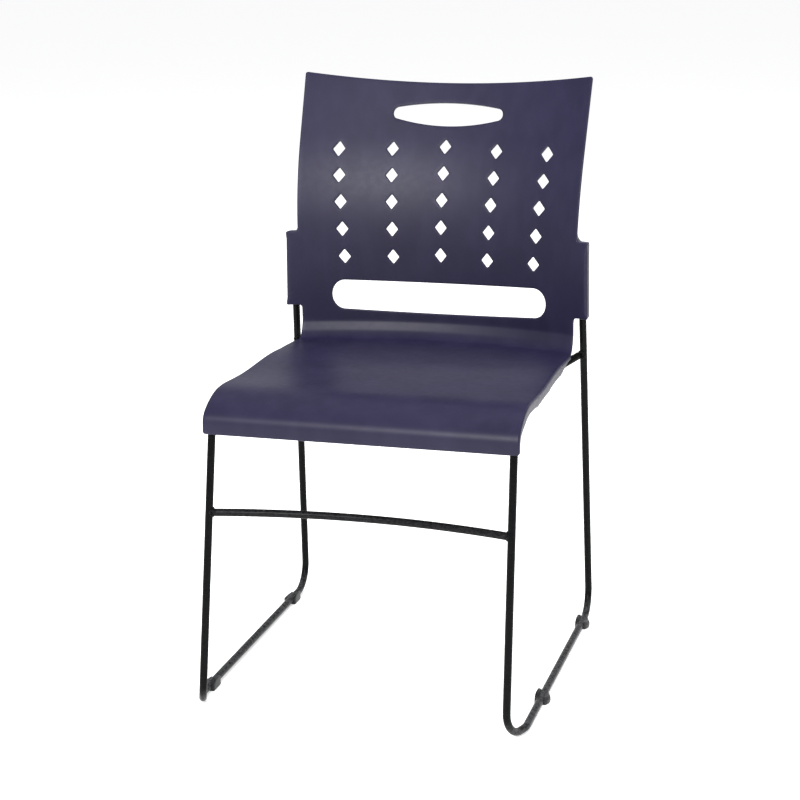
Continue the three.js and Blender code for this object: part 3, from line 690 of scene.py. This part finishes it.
def filled(loops):
    """The first loop filled around the others: (points, triangles, index of each loop point)."""
    columns = np.arange(-GRID_HALF, GRID_HALF + 1, GRID_STEP)
    grid = np.stack(np.meshgrid(columns, section_rows()), -1).reshape(-1, 2)
    edge = np.concatenate(loops)
    grid = grid[inside(grid, loops)]
    clear = np.ones(len(grid), bool)
    for first in range(0, len(grid), 2000):
        part = grid[first:first + 2000]
        gaps = np.linalg.norm(part[:, None] - edge[None], axis=2).min(1)
        clear[first:first + 2000] = gaps > GRID_CLEAR
    points = np.concatenate([edge, grid[clear]])
    edges, first = [], 0
    for loop in loops:
        edges += [(first + k, first + (k + 1) % len(loop)) for k in range(len(loop))]
        first += len(loop)
    made = delaunay_2d_cdt([Vector(p) for p in points], edges, [], 0, 1e-5)
    flat = np.array([tuple(p) for p in made[0]])
    triangles = np.array(made[2])
    triangles = triangles[inside(flat[triangles].mean(1), loops)]
    index = {source: k for k, sources in enumerate(made[3]) for source in sources}
    return flat, triangles, [index[k] for k in range(len(edge))]


def add_sheet(builder):
    """The shell's wall: a front face and a rear face joined by the rims of their outlines."""
    outer = shell_outline()
    loops = [outer] + openings()
    rims = [rim_rings(outer, *outer_rim(outer))]
    for loop in loops[1:]:
        size = np.ones(len(loop))
        rims.append(rim_rings(loop, HOLE_R * size, SHELL_T * size, (HOLE_R + 0.4) * size))
    front = filled([rim[0][0] for rim in rims])
    back = filled([rim[-1][0] for rim in rims])
    vertices, wear_and_painted_light = [], []

    def place(points, depth, pale_share):
        first = len(vertices)
        vertices.extend(shell_points(points[:, 0], points[:, 1], depth))
        wear_and_painted_light.extend(np.full(len(points), pale_share))
        return first

    front_first = place(front[0], 0, 0)
    back_first = place(back[0], SHELL_T, 0)
    faces = [[front_first + k for k in triangle] for triangle in front[1]]
    faces += [[back_first + k for k in triangle[::-1]] for triangle in back[1]]
    done = 0
    for loop, rim in zip(loops, rims):
        size = len(loop)
        rows = [[front_first + front[2][done + k] for k in range(size)]]
        for number, (points, depth) in enumerate(rim[1:-1], 1):
            start = place(points, depth, 1.0 if number in EDGE_RINGS else RIM_WEAR)
            rows.append([start + k for k in range(size)])
        rows.append([back_first + back[2][done + k] for k in range(size)])
        for here, there in zip(rows, rows[1:]):
            faces += band(here, there, flip=True)
        done += size
    builder.add(vertices, faces, wear_and_painted_light)


def grid_box(counts, place):
    """A box of counts[0] x counts[1] x counts[2] cells whose unit coordinates go through place."""
    cells = {}
    vertices, faces = [], []

    def vertex(i, j, k):
        if (i, j, k) not in cells:
            cells[i, j, k] = len(vertices)
            vertices.append(place(i / counts[0], j / counts[1], k / counts[2]))
        return cells[i, j, k]

    for axis in range(3):
        a, b = (axis + 1) % 3, (axis + 2) % 3
        for end in (0, counts[axis]):
            for u in range(counts[a]):
                for v in range(counts[b]):
                    corners = []
                    for du, dv in ((0, 0), (1, 0), (1, 1), (0, 1)):
                        cell = [0, 0, 0]
                        cell[axis], cell[a], cell[b] = end, u + du, v + dv
                        corners.append(vertex(*cell))
                    faces.append(corners if end else corners[::-1])
    return vertices, faces


def add_sleeve_block(builder, side):
    """The solid behind a wing that the upright plugs into."""
    inner, outer = HALF_WAIST + 1, WING_OUT_TOP - 1.5
    low, high = WING_FOOT_S + 0.8, WING_HEAD_S - 1

    def place(u, v, w):
        x = side * (inner + (outer - inner) * u)
        depth = SHELL_T - 1 + (WING_DEPTH - SHELL_T + 0.6) * w
        return shell_points(x, low + (high - low) * v, depth)

    vertices, faces = grid_box((4, 20, 4), place)
    builder.add(vertices, faces, flip=side > 0)


def lathe(profile, centre, sides=32):
    """A solid turned about a vertical axis from (radius, height) points."""
    angles = np.arange(sides) * 2 * math.pi / sides
    vertices, faces, rows = [], [], []
    for radius, height in profile:
        if radius < 1e-6:
            rows.append([len(vertices)] * sides)
            vertices.append((centre[0], centre[1], centre[2] + height))
            continue
        rows.append(list(range(len(vertices), len(vertices) + sides)))
        vertices += [(centre[0] + radius * math.cos(a), centre[1] + radius * math.sin(a),
                      centre[2] + height) for a in angles]
    for here, there in zip(rows, rows[1:]):
        distinct = [list(dict.fromkeys(quad)) for quad in band(here, there)]
        faces += [corners for corners in distinct if len(corners) > 2]
    return vertices, faces


def node_box(node):
    """A CAD node's lowest and highest corners in millimetres."""
    low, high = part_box(node)
    return np.array(low) / MM, np.array(high) / MM


def add_boss(builder, screw_node):
    """The boss that a clip screw bites into, from just above the clip to the seat."""
    low, high = node_box(screw_node)
    middle = (low + high) / 2
    foot = low[2] + 4.2
    top = shell_points(middle[0], seat_place(middle[1]), SHELL_T)[2] + 2 - foot
    profile = [(0, 1.2), (2.4, 1.2), (2.4, 0.3), (5.4, 0), (5.8, 0.3), (6, 0.8),
               (6, top - 4.5), (6.6, top - 3.2), (9, top - 1.8), (9, top), (0, top)]
    builder.add(*lathe(profile, (middle[0], middle[1], foot)))


def add_shell():
    builder = Builder()
    add_sheet(builder)
    for name, side in SIDES:
        add_sleeve_block(builder, side)
        for end in ("front", "rear"):
            add_boss(builder, f"{name}_{end}_clip_screw")
    shell = builder.piece("moulded_shell", ["seat_back_shell"], "shell_plastic", SHELL_PLASTIC)
    edit_mesh(shell, lambda mesh: bmesh.ops.remove_doubles(mesh, verts=mesh.verts, dist=0.01 * MM))
    shell.data.shade_smooth()


add_shell()

# ---- Bent rods ----

ROD_R = 5.5
GRIP_R = ROD_R + 0.3  # the bore of the clips and bumpers on the rods
ROD_END_RUN = 0.8  # a rod's cut ends are rounded off over this length
ROD_END_CUT = 0.7  # and by this much
ROD_WEAR = 0.03
RUNNER_SCUFF_AND_PAINTED_SHEEN_Z = (14, 34)  # scuffs and a painted sheen of the lit runner top fade out above the floor runner
RUNNER_Z = 7.5
RUNNER_X = 235.1
UPRIGHT_TOP = (224.5, 173.5, 592)
RUNNER_REAR = (RUNNER_X, 221.5, RUNNER_Z)
SIDE_ROD = (  # (corner, bend radius) from the welded hook to the top end
    ((221.6, 182.6, 427.6), 0),
    ((202, 153, 418), 22),
    ((212.9, -216.4, 423.5), 33),
    ((217.7, -283.1, RUNNER_Z), 31),
    ((RUNNER_X, -236.7, RUNNER_Z), 36),
    (RUNNER_REAR, 38),
    (UPRIGHT_TOP, 0),
)
HOOK_END, HOOK_BEND, LEG_TOP, LEG_FOOT = (np.array(corner) for corner, _ in SIDE_ROD[:4])
FRONT_BAR_Z = 279.5
FRONT_BAR_BOW = 25
FRONT_ROD_Y = -149
REAR_ROD_Y = 101
REAR_CROSSROD_SAG = 8
BEAD_R = 1.5
BEAD_WEAR = 0.1
BAR_WEAR = 0.25


def bent_path(corners, step=1.6):
    """Points along straight runs joined by round bends."""
    points = [np.array(corners[0][0], float)]
    for (before, _), (tip, radius), (after, _) in zip(corners, corners[1:], corners[2:]):
        tip = np.array(tip, float)
        u, v = np.array(before) - tip, np.array(after) - tip
        u, v = u / np.linalg.norm(u), v / np.linalg.norm(v)
        half = math.acos(float(u @ v)) / 2
        centre = tip + (u + v) / np.linalg.norm(u + v) * radius / math.sin(half)
        start = tip + u * radius / math.tan(half) - centre
        end = tip + v * radius / math.tan(half) - centre
        turn = math.pi - 2 * half
        count = max(6, math.ceil(turn * radius / step))
        for k in range(count + 1):
            share = k / count
            swung = start * math.sin((1 - share) * turn) + end * math.sin(share * turn)
            points.append(centre + swung / math.sin(turn))
    points.append(np.array(corners[-1][0], float))
    return np.array(points)


def run_point(a, b, axis, value):
    """Where the straight run from a to b crosses a value on one axis."""
    a, b = np.array(a, float), np.array(b, float)
    return a + (b - a) * (value - a[axis]) / (b[axis] - a[axis])


def tube(points, radii, sides=28, closed=False):
    """A round tube along points; radii is one number or one for each point."""
    points = np.asarray(points, float)
    count = len(points)
    radii = np.broadcast_to(radii, count)
    tangent = np.gradient(points, axis=0)
    if closed:
        tangent = np.roll(points, -1, 0) - np.roll(points, 1, 0)
    tangent /= np.linalg.norm(tangent, axis=1)[:, None]
    side = np.cross(tangent[0], (0.3, 0.9, 0.4))
    angles = np.arange(sides) * 2 * math.pi / sides
    vertices, faces = [], []
    for place, ahead, radius in zip(points, tangent, radii):
        side = side - ahead * (side @ ahead)
        side /= np.linalg.norm(side)
        other = np.cross(ahead, side)
        vertices += [place + radius * (math.cos(a) * side + math.sin(a) * other) for a in angles]
    rings = [list(range(k * sides, (k + 1) * sides)) for k in range(count)]
    for here, there in zip(rings, rings[1:] + rings[:1] if closed else rings[1:]):
        faces += band(here, there)
    if not closed:
        faces += [rings[0][::-1], rings[-1]]
    return vertices, faces


def round_ended(points, radius):
    """The points and radii of a rod whose cut ends are slightly rounded off."""

    def beside(end, neighbour):
        return end + (neighbour - end) / np.linalg.norm(neighbour - end) * ROD_END_RUN

    nose, tail = beside(points[0], points[1]), beside(points[-1], points[-2])
    placed = np.concatenate([[points[0]], [nose], points[1:-1], [tail], [points[-1]]])
    radii = np.full(len(placed), radius)
    radii[[0, -1]] = radius - ROD_END_CUT
    return placed, radii


def split_long(points, longest=12):
    """The same path with no gap longer than longest."""
    out = [points[0]]
    for a, b in zip(points, points[1:]):
        count = max(1, math.ceil(np.linalg.norm(b - a) / longest))
        out += [a + (b - a) * k / count for k in range(1, count + 1)]
    return np.array(out)


def weld_bead(joint, bar, post, seed):
    """A rippled bead where a bar leaves a round post of its own size."""
    bar, post = np.array(bar, float), np.array(post, float)
    bar /= np.linalg.norm(bar)
    up = post - bar * (post @ bar)
    up /= np.linalg.norm(up)
    across = np.cross(bar, up)
    angles = np.linspace(0, 2 * math.pi, 64, endpoint=False)
    reach = ROD_R + 0.1
    ripple = 1 + 0.13 * np.sin(angles * 15 + seed) + 0.1 * np.sin(angles * 3 + seed * 2)
    points = []
    for a in angles:
        lean = reach * math.sin(a)
        out = math.sqrt(max((ROD_R + 0.4) ** 2 - lean * lean, 1.2))
        turned = math.cos(a) * up + math.sin(a) * across
        points.append(np.array(joint) + bar * out + reach * turned)
    return tube(points, BEAD_R * ripple, 10, closed=True)


def mirrored(part, side):
    """A right-hand part as it is, or its mirror image for the left side."""
    vertices, faces = part
    if side > 0:
        return vertices, faces
    return [np.array((-v[0], v[1], v[2])) for v in vertices], [face[::-1] for face in faces]


def scuff_and_painted_sheen(vertices):
    """Wear for a rod: its floor runner is scuffed and pale, which also stands for a painted sheen
    on its lit top, and the rest is worn only a little.
    """
    runner_scuff_and_painted_sheen = 1 - smoothstep(np.array(vertices)[:, 2], *RUNNER_SCUFF_AND_PAINTED_SHEEN_Z)
    return ROD_WEAR + (1 - ROD_WEAR) * runner_scuff_and_painted_sheen


FRONT_BAR_JOINT = run_point(LEG_FOOT, LEG_TOP, 2, FRONT_BAR_Z)
FRONT_ROD_JOINT = run_point(LEG_TOP, HOOK_BEND, 1, FRONT_ROD_Y)
REAR_ROD_JOINT = run_point(LEG_TOP, HOOK_BEND, 1, REAR_ROD_Y)
UPRIGHT = np.array(UPRIGHT_TOP) - np.array(RUNNER_REAR)


def add_side_rods():
    rod, radii = round_ended(split_long(bent_path(SIDE_ROD)), ROD_R)
    hook = HOOK_END - HOOK_BEND
    weld_joint = run_point(RUNNER_REAR, UPRIGHT_TOP, 2, HOOK_END[2] + 2)
    for name, side in SIDES:
        builder = Builder()
        body = mirrored(tube(rod, radii), side)
        builder.add(*body, scuff_and_painted_sheen(body[0]))
        bead = mirrored(weld_bead(weld_joint, -hook, UPRIGHT, 1.3), side)
        builder.add(*bead, BEAD_WEAR)
        builder.piece(f"{name}_bent_rod", [f"{name}_side_rod"], "frame_steel", FRAME_STEEL)


def add_crossbar(name, node, joint, bow, post, seed):
    """A bar between the two side rods, bowed at its middle, with a weld bead at each end."""
    end = np.array(joint) - np.array((ROD_R - 1, 0, 0))
    straight = np.array((0, end[1], end[2]))
    control = 2 * (straight + np.array(bow)) - straight
    path = np.array(bezier([end * (-1, 1, 1), control, end], 60))
    builder = Builder()
    builder.add(*tube(path, ROD_R), BAR_WEAR)
    bead = weld_bead(joint, path[-2] - path[-1], post, seed)
    for _, side in SIDES:
        builder.add(*mirrored(bead, side), BEAD_WEAR)
    builder.piece(name, [node], "frame_steel", FRAME_STEEL)


def add_rods():
    leg, rail = LEG_TOP - LEG_FOOT, HOOK_BEND - LEG_TOP
    bow, sag = (0, FRONT_BAR_BOW, 0), (0, 0, -REAR_CROSSROD_SAG)
    add_side_rods()
    add_crossbar("front_bar", "front_crossbar", FRONT_BAR_JOINT, bow, leg, 0.4)
    add_crossbar("front_seat_rod", "front_seat_crossrod", FRONT_ROD_JOINT, (0, 0, 0), rail, 2.1)
    add_crossbar("rear_seat_rod", "rear_seat_crossrod", REAR_ROD_JOINT, sag, rail, 3.7)


add_rods()

# ---- Glides and bumpers ----

GLIDE_HALF = 13
GLIDE_WEAR = 0.08  # away from the outer lobe, which is pale with scuffs and a painted highlight of its lit top
BUMPER_WEAR = 0.4
GLIDE_OUTLINE = (  # (outwards, up from the rod's centre, corner radius)
    (-7.6, -7.5, 1.2), (8.2, -7.5, 2.0), (12.3, -5.2, 2.5), (12.2, 0.6, 3.2), (7.2, 4.8, 1.2),
    (3.4, 3.6, 0.5), (-3.6, 3.6, 0.5), (-6.2, 7.9, 0.7), (-8.6, 7.9, 0.9), (-8.9, -5.6, 1.5),
)


def lofted(sections):
    """A solid through sections that have the same number of points."""
    size = len(sections[0])
    vertices = [point for section in sections for point in section]
    rings = [list(range(k * size, (k + 1) * size)) for k in range(len(sections))]
    faces = []
    for here, there in zip(rings, rings[1:]):
        faces += band(here, there, flip=True)
    return vertices, faces + [rings[0], rings[-1][::-1]]


def glide_sections():
    """The glide's sections along the runner: the outer lobe tapers and the ends are rounded off."""
    outline = np.array(filleted(list(GLIDE_OUTLINE), 0.5))
    middle = outline.mean(0)
    sections = []
    end_r = 1.2
    ends = np.array([0, 0.25, 0.6, 1.1, 1.8])
    middles = np.linspace(-9.5, 9.5, 15)
    along = np.concatenate([-GLIDE_HALF + ends, middles, GLIDE_HALF - ends[::-1]])
    for y in along:
        near_end = GLIDE_HALF - abs(y)
        shrink = end_r * (1 - math.sqrt(1 - (1 - min(near_end, end_r) / end_r) ** 2))
        section = outline.copy()
        lobe = np.clip((section[:, 0] - 5) / 8, 0, 1)
        taper = 0.75 * smoothstep(y, -2, GLIDE_HALF + 2) + 0.35 * smoothstep(-y, 7, GLIDE_HALF)
        section[:, 0] -= lobe * 7.2 * taper
        fin = smoothstep(-section[:, 0], 4, 7) * np.clip(section[:, 1] / 8, 0, 1)
        drop = 3.5 * smoothstep(-y, 4, GLIDE_HALF) + 1.2 * smoothstep(y, 8, GLIDE_HALF)
        section[:, 1] -= fin * drop
        towards = middle - section
        section += towards / np.maximum(np.linalg.norm(towards, axis=1), 1e-6)[:, None] * shrink
        sections.append([np.array((u, y, max(w, -RUNNER_Z))) for u, w in section])
    return sections


def add_glides():
    sections = glide_sections()
    for corner, side in CORNERS:
        node = f"{corner}_glide"
        low, high = node_box(node)
        base = np.array((RUNNER_X, (low[1] + high[1]) / 2, RUNNER_Z))
        placed = [[base + point for point in section] for section in sections]
        part = mirrored(lofted(placed), side)
        vertices = np.array(part[0])
        # The outer lobe is pale with floor scuffs and a painted highlight of its lit top; its front
        # end face is left dark as painted shade.
        lobe = smoothstep(np.abs(vertices[:, 0]) - RUNNER_X, 1, 7)
        outside_painted_front_shade = smoothstep(vertices[:, 1] - base[1], -12.6, -9)
        builder = Builder()
        builder.add(*part, GLIDE_WEAR + (1 - GLIDE_WEAR) * lobe * outside_painted_front_shade)
        builder.piece(f"{corner}_foot_glide", [node], "glide_plastic", GLIDE_PLASTIC)


def add_bumpers():
    """Saddles under the seat rails that grip a little more than half of the rod."""
    outer = ROD_R + 2.5
    rim = math.asin(0.2)
    outline = [(outer * math.cos(a), outer * math.sin(a))
               for a in np.linspace(rim, -math.pi - rim, 26)]
    outline += [(GRIP_R * math.cos(a), GRIP_R * math.sin(a))
                for a in np.linspace(-math.pi - rim, rim, 22)]
    size = np.linalg.norm(outline, axis=1)
    back = (LEG_TOP - HOOK_BEND) / np.linalg.norm(LEG_TOP - HOOK_BEND)
    across = np.cross((0, 0, 1), back)
    across /= np.linalg.norm(across)
    up = np.cross(back, across)
    for end in ("front", "rear"):
        low, high = node_box(f"right_{end}_stack_bumper")
        place = run_point(LEG_TOP, HOOK_BEND, 1, (low[1] + high[1]) / 2)
        half = (high[1] - low[1]) / 2 - 0.5
        sections = []
        for y in (-half, -half + 0.3, -half + 1, 0, half - 1, half - 0.3, half):
            near_end = half - abs(y)
            thin = 0.7 * (1 - math.sqrt(1 - (1 - min(near_end, 1)) ** 2))
            scale = np.where(size > GRIP_R + 0.5, (size - thin) / size, 1)
            sections.append([place + back * y + (across * u + up * w) * k
                             for (u, w), k in zip(outline, scale)])
        for name, side in SIDES:
            builder = Builder()
            builder.add(*mirrored(lofted(sections), side), BUMPER_WEAR)
            builder.piece(f"{name}_{end}_rail_bumper", [f"{name}_{end}_stack_bumper"],
                          "glide_plastic", GLIDE_PLASTIC)


add_glides()
add_bumpers()

# ---- Clips and screws ----

CLIP_T = 2.4
CLIP_TAIL = 26
CLIP_R = GRIP_R + CLIP_T
CLIP_WEAR = 0.3
SCREW_WEAR = 0.5
SCREW_HEAD_R = 4
SCREW_HEAD_T = 2.6


def clip_outline():
    """Side view of a clip round a rod at the origin, as (y, z)."""
    droop = 0.3
    points = [(-CLIP_R, 1)] + arc((0, 0), CLIP_R, math.pi, 2 * math.pi - droop, 0.8)
    points += [(CLIP_TAIL, -CLIP_R * math.sin(droop)), (CLIP_TAIL, 0), (GRIP_R, 0)]
    points += arc((0, 0), GRIP_R, 0, -math.pi, 0.8)[1:]
    return points + [(-GRIP_R, 1)]


def bevel_clip(mesh):
    """Rounds a clip's sharp edges."""
    bmesh.ops.recalc_face_normals(mesh, faces=mesh.faces)
    sharp = [e for e in mesh.edges if e.calc_face_angle(0) > 0.8]
    bmesh.ops.bevel(mesh, geom=sharp, offset=0.5 * MM, segments=3, affect="EDGES", profile=0.5)


def add_clips():
    outline = clip_outline()
    size = len(outline)
    near, far = list(range(size)), list(range(size, 2 * size))
    faces = band(near, far) + [near[::-1], far]
    for corner, _ in CORNERS:
        node = f"{corner}_shell_clip"
        low, high = node_box(node)
        y0, z0 = low[1:] + CLIP_R
        vertices = [(x, y0 + y, z0 + z) for x in (low[0], high[0]) for y, z in outline]
        clip = make_object(f"{corner}_seat_clip", vertices, faces, [node],
                           CLIP_PLASTIC)
        set_wear_and_painted_light(clip, np.full(len(vertices), CLIP_WEAR))
        edit_mesh(clip, bevel_clip)
        clip.data.shade_smooth()
        clip.data.set_sharp_from_angle(angle=0.9)


def screw_head():
    """A pan head with a cross recess, its seat at the origin and its face towards +Z."""
    sides = 36
    r, recess_floor = SCREW_HEAD_R, SCREW_HEAD_T - 1.5
    profile = [(0, 0), (r, 0), (r, 1.1), (r - 0.15, 1.6), (r - 0.5, 2.1), (2.9, 2.45)]
    vertices, faces = lathe(profile, (0, 0, 0), sides)
    a, b = 0.55, 2.1
    cross = [(b, -a), (b, a), (a, a), (a, b), (-a, b), (-a, a),
             (-b, a), (-b, -a), (-a, -a), (-a, -b), (a, -b), (a, -a)]
    arms = len(cross)
    rim = list(range(len(vertices) - sides, len(vertices) + arms))  # the round edge and the cross
    floor = [rim[-1] + 1 + k for k in range(arms)]
    vertices += [(x, y, SCREW_HEAD_T - 0.05) for x, y in cross]
    vertices += [(x * 0.75, y * 0.75, recess_floor) for x, y in cross]
    flat = [Vector(vertices[k][:2]) for k in rim]
    edges = [(k, (k + 1) % sides) for k in range(sides)]
    edges += [(sides + k, sides + (k + 1) % arms) for k in range(arms)]
    made = delaunay_2d_cdt(flat, edges, [], 0, 1e-6)
    centres = np.array([np.mean([made[0][k][:] for k in t], 0) for t in made[2]])
    top = inside(centres, [np.array([f[:] for f in flat[:sides]]), np.array(cross)])
    index = [rim[sources[0]] for sources in made[3]]
    faces += [[index[k] for k in t] for t, keep in zip(made[2], top) if keep]
    return vertices, faces + band(rim[sides:], floor) + [floor]


def add_screw(name, vertices, faces, node):
    screw = make_object(name, vertices, faces, [node], SCREW_STEEL)
    set_wear_and_painted_light(screw, np.full(len(vertices), SCREW_WEAR))
    edit_mesh(screw, lambda mesh: bmesh.ops.recalc_face_normals(mesh, faces=mesh.faces))
    screw.data.set_sharp_from_angle(angle=0.7)


def add_screws():
    """Clip screws with their heads down, and sleeve screws with their heads to the rear."""
    vertices, faces = screw_head()
    vertices = np.array(vertices)
    lean = math.atan2(UPRIGHT[1], UPRIGHT[2])
    turned = np.array(Matrix.Rotation(lean, 3, "X") @ Matrix.Rotation(-math.pi / 2, 3, "X"))
    for name, _ in SIDES:
        for end in ("front", "rear"):
            node = f"{name}_{end}_clip_screw"
            low, high = node_box(node)
            seat = (low + high) / 2
            placed = vertices * (1, -1, -1) + (seat[0], seat[1], low[2] + SCREW_HEAD_T)
            add_screw(f"{name}_{end}_pan_screw", placed, faces, node)
        node = f"{name}_sleeve_screw"
        low, high = node_box(node)
        seat = (low + high) / 2
        placed = vertices @ turned.T + (seat[0], high[1] - SCREW_HEAD_T, seat[2])
        add_screw(f"{name}_wing_screw", placed, faces, node)


add_clips()
add_screws()

# ---- Light and floor ----

LIGHTS = (  # (name, place, target, size, power), in metres and watts
    ("front_softbox", (-0.1, -3.7, 2.3), (0, 0.2, 0.65), (2.1, 0.8), 185),
    ("overhead_softbox", (0.2, 0.2, 3.2), (0, 0, 0.4), (3.4, 3.0), 185),
    ("rear_softbox", (0, 5, 1.7), (0, 0, 0.5), (4.5, 1.6), 8),
    ("right_softbox", (3.3, -0.9, 1.5), (0, 0.1, 0.5), (0.8, 1.2), 14),
)
UNREFLECTED = "overhead_softbox"  # it would grey the seat and the tops of the rods
FLOOR_HALF = 30


def area_light(name, place, target, size, power):
    light = bpy.data.lights.new(name, "AREA")
    light.shape = "RECTANGLE"
    light.size, light.size_y = size
    light.energy = power
    lamp = bpy.data.objects.new(name, light)
    lamp.location = place
    lamp.visible_camera = False
    lamp.visible_glossy = name != UNREFLECTED
    lamp.rotation_euler = (Vector(target) - Vector(place)).to_track_quat("-Z", "Y").to_euler()
    bpy.context.scene.collection.objects.link(lamp)


def add_studio():
    for light in LIGHTS:
        area_light(*light)
    world = bpy.data.worlds.new("studio")
    world.use_nodes = True
    background = world.node_tree.nodes["Background"]
    background.inputs["Color"].default_value = (0.98, 0.985, 1, 1)
    background.inputs["Strength"].default_value = 0.55
    bpy.context.scene.world = world
    bpy.context.scene.view_settings.view_transform = "Standard"


def add_floor():
    """A plain pale floor, lit a little from within so that it meets the white background."""
    material = Nodes("floor").shade({
        "Base Color": (0.8, 0.8, 0.8, 1), "Roughness": 0.75,
        "Emission Color": (1, 1, 1, 1), "Emission Strength": 0.51,
    })
    corners = [(FLOOR_HALF * x, FLOOR_HALF * y, 0) for x, y in ((-1, -1), (1, -1), (1, 1), (-1, 1))]
    mesh = bpy.data.meshes.new("floor")
    mesh.from_pydata(corners, [], [(0, 1, 2, 3)])
    floor = bpy.data.objects.new("floor", mesh)
    mesh.materials.append(material)
    bpy.context.scene.collection.objects.link(floor)


add_studio()
add_floor()
